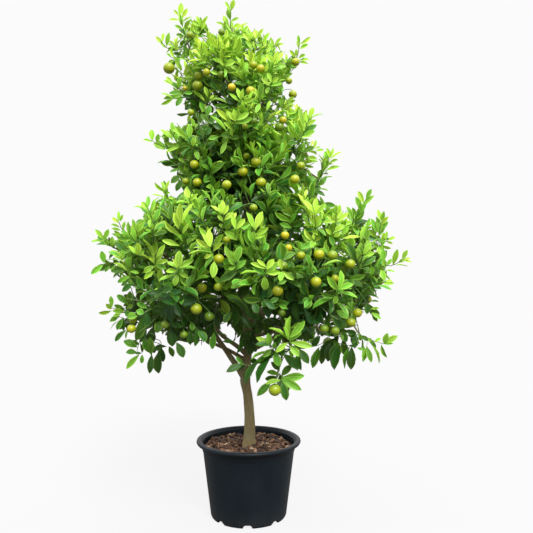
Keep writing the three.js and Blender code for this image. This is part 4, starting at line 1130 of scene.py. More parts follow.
def insideShoots():
    # short twigs at random places on the limbs and the leader, and longer ones between neighbouring sprays
    random = np.random.default_rng(innerShoots["seed"])
    ring = random.integers(innerShoots["firstRing"], wood["limbRings"], (len(limbs), innerShoots["perLimb"]))
    onLimbs = limbLines[np.arange(len(limbs))[:, None], ring].reshape(-1, 3)
    levels = random.uniform(*innerShoots["levels"], innerShoots["onLeader"])
    bases = np.concatenate([onLimbs, leaderAt(levels)])
    away = bases - leaderAt(bases[:, 2])
    lean = innerShoots["outward"] * away / innerShoots["awayFull"] + up * innerShoots["rise"]
    ways = unit(random.normal(0, 1, bases.shape) + lean)
    length = random.uniform(*innerShoots["length"], len(bases))[:, None]
    tips = bases + ways * length
    bends = (bases + tips) / 2 - up * innerShoots["sag"]
    youth = random.uniform(*innerShoots["youth"], len(bases))

    apart = np.linalg.norm(hearts[:, None] - hearts[None], axis=-1)
    one, other = np.nonzero(np.triu(apart < innerShoots["neighbour"], 1))
    middle = (hearts[one] + hearts[other]) / 2
    middle = middle + (leaderAt(middle[:, 2]) - middle) * innerShoots["inward"]
    middle = np.repeat(middle, innerShoots["between"], 0)
    middle = middle + random.normal(0, innerShoots["scatter"], middle.shape)
    ways = unit(random.normal(0, 1, middle.shape) + up * innerShoots["betweenRise"])
    length = random.uniform(*innerShoots["betweenLength"], len(middle))[:, None]
    youth = np.concatenate([youth, random.uniform(*innerShoots["betweenYouth"], len(middle))])
    bases = np.concatenate([bases, woodNear(middle)])
    bends = np.concatenate([bends, middle])
    tips = np.concatenate([tips, middle + ways * length])
    youth = youth + innerShoots["highYouth"] * smoothStep(*innerShoots["highFrom"], tips[:, 2])
    # painted light and shade shifts the youth, and so the colour, of each twig's leaves
    youth = youth + paintedLightShift(tips)
    stays = insideOutline(tips, innerShoots["margin"])
    made = (bases, bends, tips, youth, nearestHeart(tips), np.zeros(len(tips)))
    return tuple(rows[stays] for rows in made)


def leavesOnShoots(made, firstLeaf, seed):
    # leaves along each shoot by the golden angle: their roots, ways, faces, lengths and ages
    random = np.random.default_rng(seed)
    bases, bends, tips, shootYouth, owner, hang = made
    number, samples = leafSpiral["leaves"], 40
    order = np.linspace(0, 1, number)
    lines = bezier(bases, bends, tips, np.linspace(0, 1, samples + 1))
    slopes = unit(np.gradient(lines, axis=1))
    pick = np.round(np.linspace(firstLeaf, 1, number) * samples).astype(int)
    roots, stems = lines[:, pick], slopes[:, pick]
    side = squareTo(np.broadcast_to(np.array([0.37, 0.61, 0.7]), stems.shape), stems)
    each = (len(bases), number)
    around = random.random((len(bases), 1)) * tau + np.arange(number)[None] * goldenTurn
    around = around + random.normal(0, leafSpiral["turnVary"], each)
    radial = turned(side, stems, around)
    grown = smoothStep(0, 1, order)[None]
    opening = np.radians(leafSpiral["openAngle"] * (1 - grown) + leafSpiral["tipAngle"] * grown)
    opening = opening + np.radians(leafSpiral["angleVary"]) * random.normal(0, 1, each)
    c, s = np.cos(opening)[..., None], np.sin(opening)[..., None]
    ways = stems * c + radial * s
    faces = stems * s - radial * c
    hang = hang[:, None]
    youth = shootYouth[:, None] + leafSpiral["tipYouth"] * (order[None] - leafSpiral["youthFrom"])
    age = np.clip(1 - youth - random.normal(0, leafSpiral["ageVary"], youth.shape), 0, 1)
    withAge, withHang, always = leafSpiral["sink"]
    sink = withAge * age**2 + withHang * hang + always
    ways = unit(ways - up * sink[..., None])
    faces = squareTo(faces + up * leafShape["lightLean"], ways)
    faces = turned(faces, ways, random.normal(0, leafShape["roll"], faces.shape[:2]))
    low, more = leafShape["lengthShare"]
    most = spreads[owner][:, None] * (low + more * np.clip(-lifts[owner], 0, 1)[:, None])
    lengths = np.minimum(leafShape["length"], most) * np.interp(order, *leafSpiral["sizes"])[None]
    lengths = lengths * (1 + leafShape["lengthVary"] * (random.random(age.shape) - 0.5))
    least, withAge, withHang = leafSpiral["grown"]
    lengths = lengths * (least + withAge * age + withHang * hang)
    # a hanging shoot bears every other leaf
    sparse = (hang > 0.5) & (np.arange(number) % 2 > 0)[None]
    return {
        "stalk": (roots - ways * leafSpiral["stalk"] * lengths[..., None]).reshape(-1, 3),
        "root": roots.reshape(-1, 3),
        "way": ways.reshape(-1, 3),
        "face": faces.reshape(-1, 3),
        "length": lengths.ravel(),
        "age": age.ravel(),
        "owner": np.repeat(owner, number),
        "broad": np.where(sparse, 0.0, 1.0).ravel(),
        "tone": random.random(age.size),
        "turn": random.random((4, age.size)),
    }


def leafBow(turn, age):
    low, high = leafShape["bend"]
    share = leafShape["bendByAge"]
    return low + (high - low) * ((1 - share) * turn + share * age)


def leafHalf(age, turn, owner):
    # half of a leaf's greatest width, as a share of its length
    low, high = leafShape["halfWidth"]
    least, vary = leafShape["widthVary"]
    narrow = 1 - (1 - leafShape["topNarrow"]) * smoothStep(*leafShape["narrowFrom"], hearts[owner, 2])
    return (low + (high - low) * age) * narrow * (least + vary * turn)


def leafBlades(leaves):
    # Leaf blade: along its rib a circular bow that droops to the tip; across it a width that grows as a power
    # of a sine, widest past the middle; both halves raised along the rib into a fold, waved at the edge, and
    # the whole twisted a little about the rib. Rows below 0 are the stalk.
    shape = leafShape
    s = np.array(shape["rows"])[None, :, None]
    v = np.array(shape["columns"])[None, None, :]
    length = leaves["length"][:, None, None]
    age = leaves["age"][:, None, None]
    r = leaves["turn"][:, :, None, None]
    bow = leafBow(r[0], age)
    low, high = shape["fold"]
    share = shape["foldByYouth"]
    fold = low + (high - low) * ((1 - share) * r[1] + share * (1 - age))
    inside = np.clip(s, 0, 1)
    width = np.maximum(np.sin(math.pi * inside ** shape["widest"]) ** shape["fullness"], shape["stalkWidth"])
    widest = leafHalf(leaves["age"], leaves["turn"][3], leaves["owner"]) * leaves["broad"]
    half = length * widest[:, None, None] * width
    across = half * v * np.cos(fold)
    lifted = half * np.abs(v) * np.sin(fold)
    lifted = lifted + shape["wave"] * length * v**2 * inside * np.sin(s * shape["waves"] + r[2] * tau)
    twist = shape["twist"] * (r[2] * 2 - 1) * s
    c, n = np.cos(twist), np.sin(twist)
    across, lifted = across * c - lifted * n, across * n + lifted * c
    along = length * np.sin(bow * s) / bow + lifted * np.sin(bow * s)
    rise = -length * (1 - np.cos(bow * s)) / bow + lifted * np.cos(bow * s)
    axes = (leaves["way"], np.cross(leaves["face"], leaves["way"]), leaves["face"])
    points = leaves["root"][:, None, None]
    for amount, axis in zip((along, across, rise), axes):
        points = points + amount[..., None] * axis[:, None, None]
    points[:, 0] += (leaves["stalk"] - points[:, 0, leafMiddle])[:, None]
    return points.reshape(len(points), -1, 3)


# Fruits that the photograph shows: pixels across and down, width in pixels, ripeness and how free the view
# is.
# The ripeness sets the rind's colour, and on fruits that lie in shade it is partly set lower as painted shade
fruitsSeen = np.array([
    (169, 68.2, 11.5, 0.42, 1), (189.9, 34.9, 7, 0.35, 1), (221.6, 32.1, 7, 0.2, 1), (206.5, 72.3, 8, 0.5, 1),
    (198.4, 75.8, 8.5, 0.4, 0.9), (197.5, 85.6, 10.5, 0.38, 0.9), (185.1, 88.4, 5.5, 0.62, 0.5),
    (221.4, 74.6, 8, 0.25, 0.4), (231.7, 87.2, 8, 0.7, 0.35), (250.5, 90.7, 9, 0.58, 0.9),
    (253.5, 65, 8, 0.45, 1), (260.6, 68.6, 8.5, 0.55, 1), (295.5, 62, 8.5, 0.5, 1),
    (288.9, 80.8, 7, 0.4, 0.7), (283.1, 120.1, 7.5, 0.58, 0.8), (279.7, 127, 9.5, 0.15, 1),
    (244.8, 126.3, 6, 0.4, 0.6), (254, 121, 7, 0.1, 0.7), (190.9, 112.5, 7, 0.4, 0.3),
    (194.3, 164.4, 9, 0.5, 0.9), (256.1, 161.8, 10, 0.45, 1), (246.4, 156.1, 6.5, 0.4, 0.6),
    (242.7, 171.7, 10, 0.5, 1), (226.7, 184.6, 9.3, 0.45, 1), (197.3, 182.3, 9, 0.5, 1),
    (185.6, 181.1, 7, 0.4, 0.7), (260.9, 182.5, 10.5, 0.45, 1), (294.8, 179.3, 9.5, 0.5, 1),
    (300.8, 165.7, 8.5, 0.4, 0.8), (253.6, 207.7, 8, 0.35, 0.2), (285, 235.3, 8.5, 0.6, 0.9),
    (288.4, 247.9, 8, 0.6, 0.2), (226.7, 239.4, 7.5, 0.45, 0.8), (218.9, 258.9, 10.5, 0.5, 1),
    (301, 255.5, 9, 0.45, 1), (319, 254.4, 11, 0.52, 1), (332.5, 255.3, 10.5, 0.35, 0.9),
    (350.4, 264, 10, 0.4, 1), (316, 281.9, 11, 0.48, 1), (335, 278.2, 8, 0.5, 0.7),
    (277.6, 290.9, 11, 0.52, 1), (283.5, 265.6, 9, 0.2, 0.8), (201.9, 287.9, 10, 0.48, 1),
    (218, 287, 8.5, 0.4, 0.8), (196.2, 308.9, 11.7, 0.4, 1), (209.2, 316.5, 10, 0.12, 0.8),
    (131.5, 328.6, 9, 0.5, 0.7), (132.9, 319.9, 8, 0.35, 0.2), (165, 324.5, 8, 0.3, 0.5),
    (183.7, 334.6, 8, 0.2, 0.6), (274.8, 389.9, 12.5, 0.4, 1), (357.3, 312.8, 9.8, 0.5, 1),
    (350.9, 322.4, 9.8, 0.42, 1), (324.4, 328.8, 9, 0.2, 0.2), (335.2, 330.7, 9, 0.25, 0.3),
    (281.7, 312.9, 8, 0.15, 0.6),
])

fruitShape = {
    "seed": 11,
    "hidden": 20,         # fruits on the sides and back that the photograph doesn't show
    "hiddenBehind": 40,
    "diameter": (24, 30),
    "hiddenReach": 0.7,
    "hiddenDroop": 0.5,
    "hiddenVary": 0.2,
    "hiddenRipe": (0.25, 0.4),
    "reach": 0.7,
    "farthest": 1.25,
    "sides": 18,
    "rings": 12,
    "flat": 0.96,
    "dimple": 0.1,
    "dimpleWidth": 0.35,
    "stalkRadius": 0.9,
    "stalkSides": 5,
    "stalkRings": 9,
    "stalkArch": (14, 0.25),  # how high a stalk arches, and more of it with its length
    "stalkLift": 1.0,     # how far over the dimple the stalk ends
    "calyxLift": 0.6,
    "calyxRadius": 0.24,  # share of the fruit's diameter
    "calyxSides": 15,
    "calyxLobes": 5,
    "calyxSteps": ((0.35, 1.0, 0.8), (0.3, -0.3, -0.75)),  # radius and height of the cap's rings
    "calyxThick": 0.45,
    "calyxWave": 0.25,
    "calyxPole": 0.3,
    "clear": 2.0,
}


def placeFruits(random):
    # each fruit hangs on the photograph's line of sight, on the near side of the first spray that it meets
    bearer = firstMet(fruitsSeen[:, :2], fruitShape["reach"], fruitShape["farthest"])
    centres = nearSide(fruitsSeen[:, :2], bearer, fruitShape["reach"])
    diameters = fruitsSeen[:, 2] * (centres[:, 1] - eye[1]) / view["focalPixels"]
    behind = np.flatnonzero(hearts[:, 1] > fruitShape["hiddenBehind"])
    number = fruitShape["hidden"]
    chosen = np.resize(behind, number)
    ways = sprayWays(5)[chosen, np.arange(number) % 3]
    ways = ways - up * fruitShape["hiddenDroop"] + random.normal(0, fruitShape["hiddenVary"], ways.shape)
    hidden = hearts[chosen] + unit(ways) * spreads[chosen][:, None] * fruitShape["hiddenReach"]
    low, high = fruitShape["diameter"]
    more = low + (high - low) * random.random(number)
    green, riper = fruitShape["hiddenRipe"]
    return {
        "centre": np.concatenate([centres, hidden]),
        "diameter": np.concatenate([diameters, more]),
        "ripe": np.concatenate([fruitsSeen[:, 3], green + riper * random.random(number)]),
        "free": np.concatenate([fruitsSeen[:, 4], np.zeros(number)]),
        "bearer": np.concatenate([bearer, chosen]),
    }


def clearOfFruits(probe, seen, fruits):
    # True for a leaf that neither touches a fruit nor hides one that the photograph shows
    clear = np.ones(len(probe), bool)
    least, more = fitted["fruitShare"]
    centres = pixelOf(fruits["centre"])
    for centre, diameter, free, pixel in zip(fruits["centre"], fruits["diameter"], fruits["free"], centres):
        gap = np.linalg.norm(probe - centre, axis=-1).min(1)
        clear &= gap > diameter / 2 + fruitShape["clear"]
        if free > 0:
            radius = diameter / 2 * view["focalPixels"] / pixel[2]
            clear &= ~hides(seen, pixel, radius * (least + more * free))
    return clear


def hides(seen, place, radius):
    # True for a row of seen points of which one lies in front of a place, less than a radius from it
    apart = np.hypot(seen[..., 0] - place[0], seen[..., 1] - place[1])
    return ((apart < radius) & (seen[..., 2] < place[2])).any(1)


def clearOfStems(made, fruits):
    # the shoots whose stems don't pass in front of a fruit that the photograph shows, or through a gap
    seen = pixelOf(bezier(*made[:3], np.linspace(0, 1, 25)))
    clear = clearOfGaps(seen, fitted["gapShare"])
    for place, diameter in zip(pixelOf(fruits["centre"][: len(fruitsSeen)]), fruits["diameter"]):
        clear &= ~hides(seen, place, diameter / 2 * view["focalPixels"] / place[2])
    return tuple(rows[clear] for rows in made)


def clearOfSeen(seen, seenBlades):
    # True for a leaf that doesn't hide the rib of a leaf that the photograph shows
    clear = np.ones(len(seen), bool)
    grid = pixelOf(inGrid(seenBlades))
    ribs, edges = grid[:, 3:7, leafMiddle], grid[:, 4, [0, -1], :2]
    widths = np.linalg.norm(edges[:, 0] - edges[:, 1], axis=-1)
    for rib, wide in zip(ribs, widths):
        for place in rib:
            clear &= ~hides(seen, place, fitted["ribWidth"] + wide * sighted["clearRadius"])
    return clear


def makeFruits(fruits, skin, green):
    # Fruit: a round body a little flatter than a ball, with a dimple at its stalk. Calyx: a five-lobed cap on
    # the dimple. Stalk: a thin tube that arches from the spray's heart to the fruit.
    count = len(fruits["centre"])
    sides, rings = fruitShape["sides"], fruitShape["rings"]
    flat, dimple = fruitShape["flat"], fruitShape["dimple"]
    fall = (np.arange(rings) + 1) / (rings + 1) * math.pi
    turn = anglesOf(sides)
    radius = 1 - dimple * np.exp(-((fall / fruitShape["dimpleWidth"]) ** 2))
    x = np.sin(fall)[:, None] * np.cos(turn)[None]
    y = np.sin(fall)[:, None] * np.sin(turn)[None]
    z = np.broadcast_to((np.cos(fall) * flat * radius)[:, None], x.shape)
    ball = np.stack([x, y, z], -1).reshape(-1, 3)
    ball = np.concatenate([ball, [[0, 0, flat * (1 - dimple)], [0, 0, -flat]]])
    half = (fruits["diameter"] / 2)[:, None, None]
    points = (fruits["centre"][:, None] + ball[None] * half).reshape(-1, 3)
    quads, triangles = (repeated(faces, count, len(ball)) for faces in bodyFaces(rings, sides, True))
    values = {
        "fruitRipenessWithPaintedShade": np.repeat(fruits["ripe"], len(ball)),
        "fruitHigh": np.tile(ball[:, 2], count),
    }
    makePiece("fruits", points, quads, triangles, skin, "foliage", (), values)

    high = fruits["centre"] + up * half[:, 0] * flat * (1 - dimple)
    start = hearts[fruits["bearer"]]
    least, more = fruitShape["stalkArch"]
    arch = least + more * np.linalg.norm(high - start, axis=1, keepdims=True)
    share = np.linspace(0, 1, fruitShape["stalkRings"])
    lines = bezier(start, (start + high) / 2 + up * arch, high + up * fruitShape["stalkLift"], share)
    stalks = tubes(lines, np.full(lines.shape[:2], fruitShape["stalkRadius"]), fruitShape["stalkSides"])
    lobes = fruitShape["calyxSides"]
    angle = anglesOf(lobes)
    wave, pole = fruitShape["calyxWave"], fruitShape["calyxPole"]
    star = 1 - wave + wave * np.cos(fruitShape["calyxLobes"] * angle)
    steps, drop = np.array(fruitShape["calyxSteps"])[:, :, None]
    x, y = steps * star * np.cos(angle), steps * star * np.sin(angle)
    cap = np.stack([x, y, drop * fruitShape["calyxThick"] + 0 * angle], -1).reshape(-1, 3)
    cap = np.concatenate([cap, [[0, 0, pole], [0, 0, -pole]]])
    reach = (fruits["diameter"] * fruitShape["calyxRadius"])[:, None, None]
    points = (high[:, None] + up * fruitShape["calyxLift"] + cap[None] * reach).reshape(-1, 3)
    faces = (repeated(rows, count, len(cap)) for rows in bodyFaces(len(steps), lobes, True))
    makePiece("fruit_stalks", *joined([stalks, (points, *faces)]), green, "foliage")


# Pot: the profile of the solids, with its edges rounded

pot = {
    "outside": [
        (0, 11), (93, 11), (93, 0), (99, 0), (101.5, 5), (122.6, 175), (124.2, 176), (125.2, 194),
        (138, 194), (140, 197), (139, 201), (136, 203),
    ],
    "inside": [(129, 203), (127, 201), (122.2, 196), (120.6, 175), (98.5, 15), (0, 15)],
    "round": 0.9,         # how far each corner of the profile is rounded
    "grain": 12,          # the longest step along the profile
    "sides": 192,
    "notches": 8,
    "notchHeight": 9,
    "notchWidth": 20,
    "notchSlant": 1.5,
    "notchRadius": 98,
    "footTop": 11.5,      # the part of the profile that the notches raise: below this height,
    "footInside": 92,     # outside this radius,
    "footOutside": 97,    # and on the slope of the wall outside this one
    "roofMost": 10.9,
    "roofRise": 0.02,     # keeps the raised parts of the profile apart
    "drainRadius": 6,
    "drainRing": 78,
    "drainLevels": (4, 22),
    "drainSides": 24,
}


def roundedProfile(corners, radius, steps=4):
    # a profile whose corners are cut by short curves of about the radius
    corners = np.array(corners, float)
    made = [corners[:1]]
    for before, corner, after in zip(corners[:-2], corners[1:-1], corners[2:]):
        cut = min(radius, np.linalg.norm(corner - before) * 0.45, np.linalg.norm(after - corner) * 0.45)
        a = corner + (before - corner) / np.linalg.norm(before - corner) * cut
        b = corner + (after - corner) / np.linalg.norm(after - corner) * cut
        made.append(bezier(a[None], corner[None], b[None], np.linspace(0, 1, steps))[0])
    made.append(corners[-1:])
    return np.concatenate(made)


def makePot(material):
    # Pot: the profile turned about Z. Where a notch is, the foot's rim is raised to the notch's roof.
    profile = roundedProfile(pot["outside"] + pot["inside"], pot["round"])
    dense = [profile[:1]]
    for a, b in zip(profile[:-1], profile[1:]):
        pieces = max(1, int(np.linalg.norm(b - a) / pot["grain"]))
        dense.append(a + (b - a) * (np.arange(1, pieces + 1) / pieces)[:, None])
    profile = np.concatenate(dense)[1:-1]
    turn = anglesOf(pot["sides"])
    width, slant = pot["notchWidth"] / 2, pot["notchSlant"]
    step = tau / pot["notches"]
    offset = np.abs((turn + math.pi / 2 + step / 2) % step - step / 2) * pot["notchRadius"]
    roof = pot["notchHeight"] * (1 - smoothStep(width - slant, width + slant, offset))
    r, z = profile[:, :1], profile[:, 1:]
    foot = (z < pot["footTop"]) & (r > pot["footInside"])
    raised = np.where(foot, np.maximum(z, np.minimum(roof[None] + z * pot["roofRise"], pot["roofMost"])), z)
    (low, lowZ), (high, highZ) = pot["outside"][4:6]
    slope = (high - low) / (highZ - lowZ)
    sloped = foot & (r > pot["footOutside"]) & (raised > z)
    radius = np.where(sloped, np.maximum(r, low + (raised - lowZ) * slope), r)
    points = np.stack([radius * np.cos(turn), radius * np.sin(turn), raised], -1).reshape(-1, 3)
    ends = [[0, 0, pot["outside"][0][1]], [0, 0, pot["inside"][-1][1]]]
    faces = bodyFaces(len(profile), pot["sides"])
    piece = makePiece("nursery_pot", np.concatenate([points, ends]), *faces, material, "pot_plastic", ["pot"])
    cutter = drainCutter()
    modifier = piece.modifiers.new("drains", "BOOLEAN")
    modifier.operation = "DIFFERENCE"
    modifier.solver = "EXACT"
    modifier.object = cutter
    applyModifiers(piece)
    bpy.data.objects.remove(cutter)


def drainCutter():
    # upright rods where the drain holes are
    turn = np.arange(pot["notches"]) * tau / pot["notches"] - math.pi / 2
    feet = np.stack([np.cos(turn), np.sin(turn), 0 * turn], -1) * pot["drainRing"]
    lines = feet[:, None] + up * np.linspace(*pot["drainLevels"], 3)[None, :, None]
    radii = np.full(lines.shape[:2], float(pot["drainRadius"]))
    points, quads, triangles = tubes(lines, radii, pot["drainSides"])
    mesh = bpy.data.meshes.new("drains")
    mesh.from_pydata((points * mm).tolist(), [], quads.tolist() + triangles.tolist())
    return placed("drains", mesh)


def applyModifiers(piece):
    shown = piece.evaluated_get(bpy.context.evaluated_depsgraph_get())
    mesh = bpy.data.meshes.new_from_object(shown)
    piece.modifiers.clear()
    piece.data = mesh


# Soil: the root ball with an uneven top, and loose chips of bark over it

soil = {
    "level": 183,
    "swell": 2,
    "ripple": 0.1,
    "lumps": 1.6,
    "radiusFoot": 97.5,
    "radiusTop": 119,
    "wallTop": 175.0,
    "foot": 15.3,
    "hole": 15,
    "rings": 34,
    "sides": 120,
}

chips = {
    "seed": 5,
    "count": 720,
    "from": 23,           # the chips lie between these distances from the trunk's axis
    "to": 116,
    "within": 117.5,      # and their ends stay inside this one
    "length": (7, 24),
    "width": (0.3, 0.6),
    "thick": (0.16, 0.34),
    "uneven": 0.28,
    "tilt": 0.35,
    "sunk": 0.7,          # height of a chip's middle over the soil, in its half thickness
    "heap": 2.2,          # and how much higher some lie
    "sides": 7,
    "rings": 3,
    "powers": (0.6, 0.7),
    "pole": 0.95,
}


def soilTop(x, y):
    waves = np.sin(x * soil["ripple"]) + np.cos((y + x / 2) * soil["ripple"])
    lumps = np.sin(x * 0.31 + 1.3 * np.sin(y * 0.23)) * np.sin(y * 0.29 + 1.7 * np.sin(x * 0.19))
    return soil["level"] + soil["swell"] * waves + soil["lumps"] * lumps


def makeSoil(earth):
    # Root ball: a turned body whose top follows the soil's level, two slow waves and small lumps.
    turn = anglesOf(soil["sides"])
    top = np.linspace(soil["hole"], soil["radiusTop"], soil["rings"])[::-1]
    x, y = top[:, None] * np.cos(turn), top[:, None] * np.sin(turn)
    upper = np.stack([x, y, soilTop(x, y)], -1)
    wall = np.array([(soil["radiusFoot"], soil["foot"]), (soil["radiusTop"], soil["wallTop"])])
    side = np.stack([wall[:, :1] * np.cos(turn), wall[:, :1] * np.sin(turn), wall[:, 1:] + 0 * turn], -1)
    ends = [[0, 0, soil["foot"]], [0, 0, soil["level"]]]
    points = np.concatenate([side.reshape(-1, 3), upper.reshape(-1, 3), ends])
    faces = bodyFaces(soil["rings"] + len(wall), soil["sides"])
    makePiece("root_ball", points, *faces, earth, "bark_mulch", ["soil"])


def power(wave, exponent):
    return np.sign(wave) * np.abs(wave) ** exponent


def makeChips(mulch):
    # Chip: a flat superellipsoid with uneven corners, tilted a little and laid on the soil.
    random = np.random.default_rng(chips["seed"])
    number, rings, sides = chips["count"], chips["rings"], chips["sides"]
    away = np.sqrt(random.uniform(chips["from"] ** 2, chips["to"] ** 2, number))
    angle = random.random(number) * tau
    length = random.uniform(*chips["length"], number)
    away = np.minimum(away, chips["within"] - length / 2)
    x, y = away * np.cos(angle), away * np.sin(angle)
    width, thick = (length / 2 * random.uniform(*chips[key], number) for key in ("width", "thick"))
    half = np.stack([length / 2, width, thick], -1)
    fall = (np.arange(rings) + 0.6) / (rings + 0.2) * math.pi
    turn = anglesOf(sides)
    boxy, flatter = chips["powers"]
    around = power(np.sin(fall), boxy)[:, None]
    level = np.broadcast_to(power(np.cos(fall), flatter)[:, None], (rings, sides))
    across, along = around * power(np.cos(turn), flatter)[None], around * power(np.sin(turn), flatter)[None]
    shape = np.stack([across, along, level], -1).reshape(-1, 3)
    shape = np.concatenate([shape, [[0, 0, chips["pole"]], [0, 0, -chips["pole"]]]])
    uneven = random.uniform(-chips["uneven"], chips["uneven"], (number, len(shape), 1))
    chunk = shape[None] * (1 + uneven) * half[:, None]
    yaw, tip, lean = random.random(number) * tau, *random.normal(0, chips["tilt"], (2, number))
    e = np.broadcast_to(np.eye(3)[:, None], (3, number, 3))
    forward = turned(turned(e[0], e[1], tip), e[2], yaw)
    sideways = squareTo(turned(turned(e[1], e[0], lean), e[2], yaw), forward)
    axes = (forward, sideways, np.cross(forward, sideways))
    level = soilTop(x, y) + half[:, 2] * chips["sunk"] + random.random(number) * chips["heap"]
    points = np.stack([x, y, level], -1)[:, None] + sum(
        chunk[..., i : i + 1] * axis[:, None] for i, axis in enumerate(axes)
    )
    quads, triangles = (repeated(faces, number, len(shape)) for faces in bodyFaces(rings, sides, True))
    values = {"chipTone": np.repeat(random.random(number), len(shape))}
    piece = makePiece("bark_chips", points.reshape(-1, 3), quads, triangles, mulch, "bark_mulch", (), values)
    piece.data.shade_flat()


# Finishes: in the tables of shades the first number is the place on the ramp

leafColours = {
    "ages": [
        (0.0, (0.45, 0.66, 0.04)),
        (0.12, (0.3, 0.53, 0.028)),
        (0.28, (0.165, 0.4, 0.02)),
        (0.5, (0.073, 0.27, 0.013)),
        (0.75, (0.022, 0.115, 0.0085)),
        (1.0, (0.0075, 0.043, 0.0055)),
    ],
    "blotch": 0.16,       # how far blotches differ in age
    "hue": (0.485, 0.515),
    "value": (0.82, 1.18),
    "ribYoung": (0.56, 0.77, 0.16),
    "ribOld": (0.045, 0.14, 0.018),
    "ribWidth": (0.2, 0.05),  # at the foot and at the tip, as a share of the leaf's width
    "ribShare": 0.6,
    "veins": 52.0,        # how close the side veins stand
    "veinSlant": -9.0,
    "veinShare": 0.14,
    # the pale edge of young leaves, partly a painted highlight along the rim
    "edge": (0.56, 0.8, 0.13),
    "edgeHighlightShare": 0.75,
    "through": (0.5, 0.7, 0.04),
    "throughShare": 0.3,
    "translucent": 0.25,
    "roughness": (0.4, 0.54),
    "shine": 0.25,
    "relief": (0.35, 0.0006),
}


def leafMaterial():
    material, tree, shader = newMaterial("citrus_leaf")
    labels = ("leafAgeWithPaintedLight", "leafTone", "leafAlong", "leafAcross")
    # the leaf's age, which sets its shade of green, also carries painted light and shade: younger, paler
    # leaves where the crown is lit, older, darker ones in its shade
    age, tone, along, across = (attributeNode(tree, label) for label in labels)
    mottle = noiseNode(tree, 90, 3, objectPlace(tree))
    blotch = leafColours["blotch"]
    aged = mathNode(tree, "ADD", age, mathNode(tree, "MULTIPLY_ADD", mottle, blotch, -blotch / 2))
    hue = addNode(tree, "ShaderNodeHueSaturation", {
        "Hue": rangeNode(tree, tone, 0, 1, *leafColours["hue"]),
        "Value": rangeNode(tree, tone, 0, 1, *leafColours["value"]),
        "Color": rampNode(tree, aged, leafColours["ages"]),
    })
    # the midrib is a pale line that thins out towards the tip, and side veins leave it at a slant
    outer = mathNode(tree, "ABSOLUTE", across)
    width = rangeNode(tree, along, 0, 1, *leafColours["ribWidth"])
    rib = mathNode(tree, "SUBTRACT", 1.0, mathNode(tree, "DIVIDE", outer, width))
    rib = mathNode(tree, "MAXIMUM", rib, 0.0)
    grown = rangeNode(tree, aged, 0.2, 0.8, 0, 1)
    pale = mixNode(tree, grown, leafColours["ribYoung"], leafColours["ribOld"])
    rows = mathNode(tree, "MULTIPLY", along, leafColours["veins"])
    veins = mathNode(tree, "SINE", mathNode(tree, "MULTIPLY_ADD", outer, leafColours["veinSlant"], rows))
    shown = rangeNode(tree, veins, 0.2, 1, 0, leafColours["veinShare"])
    veined = mixNode(tree, shown, hue.outputs["Color"], pale)
    coloured = mixNode(tree, mathNode(tree, "MULTIPLY", rib, leafColours["ribShare"]), veined, pale)
    # the edge is paler on young leaves: a pale margin that is partly a painted highlight along the rim
    paleRimAndHighlight = rangeNode(tree, outer, 0.5, 0.95, 0, leafColours["edgeHighlightShare"])
    edge = mathNode(tree, "MULTIPLY", paleRimAndHighlight, mathNode(tree, "SUBTRACT", 1.0, age))
    coloured = mixNode(tree, edge, coloured, leafColours["edge"])
    height = mathNode(tree, "MULTIPLY_ADD", veins, 0.25, mathNode(tree, "MULTIPLY", rib, -0.8))
    fill(tree, shader, {
        "Base Color": coloured,
        "Roughness": rangeNode(tree, mottle, 0.3, 0.7, *leafColours["roughness"]),
        "Specular IOR Level": leafColours["shine"],
        "Normal": bumpNode(tree, height, *leafColours["relief"]),
    })
    through = addNode(tree, "ShaderNodeBsdfTranslucent", {
        "Color": mixNode(tree, leafColours["throughShare"], coloured, leafColours["through"]),
    })
    showSurface(tree, mixShader(tree, leafColours["translucent"], shader.outputs[0], through.outputs[0]))
    return material


greenColours = {
    "shades": [(0.3, (0.045, 0.11, 0.014)), (0.7, (0.12, 0.21, 0.032))],
    "roughness": 0.5,
    "relief": (0.3, 0.0003),
}


def greenWoodMaterial():
    material, tree, shader = newMaterial("green_shoot")
    place = objectPlace(tree)
    fill(tree, shader, {
        "Base Color": rampNode(tree, noiseNode(tree, 45, 3, place), greenColours["shades"]),
        "Roughness": greenColours["roughness"],
        "Normal": bumpNode(tree, noiseNode(tree, 600, 2, place), *greenColours["relief"]),
    })
    return material


barkColours = {
    "low": [(0.25, (0.12, 0.088, 0.036)), (0.55, (0.22, 0.172, 0.074)), (0.85, (0.37, 0.31, 0.165))],
    "high": [(0.25, (0.055, 0.04, 0.015)), (0.55, (0.13, 0.098, 0.036)), (0.85, (0.22, 0.178, 0.078))],
    "lichen": (0.2, 0.21, 0.11),
    "lichenShare": 0.45,
    "lowTo": 0.3,
    "highFrom": 0.45,
    "roughness": 0.85,
    "streakRelief": (0.7, 0.0016),
    "poreRelief": (0.3, 0.0004),
}


def barkMaterial():
    # bark in fine upright streaks, paler at the foot, browner in the crown, with dull green patches
    material, tree, shader = newMaterial("citrus_bark")
    place = objectPlace(tree)
    streaks = noiseNode(tree, 1.0, 6, stretched(tree, place, (330, 330, 45)), 0.65)
    broad = mathNode(tree, "MULTIPLY", noiseNode(tree, 30, 3, place), 0.3)
    grain = mathNode(tree, "MULTIPLY_ADD", streaks, 0.75, broad)
    low, high = (rampNode(tree, grain, barkColours[key]) for key in ("low", "high"))
    level = rangeNode(tree, heightIn(tree, place), barkColours["lowTo"], barkColours["highFrom"], 0, 1)
    patch = rangeNode(tree, noiseNode(tree, 22, 4, place), 0.52, 0.62, 0, barkColours["lichenShare"])
    relief = bumpNode(tree, streaks, *barkColours["streakRelief"])
    fill(tree, shader, {
        "Base Color": mixNode(tree, patch, mixNode(tree, level, low, high), barkColours["lichen"]),
        "Roughness": barkColours["roughness"],
        "Normal": bumpNode(tree, noiseNode(tree, 700, 2, place), *barkColours["poreRelief"], relief),
    })
    return material


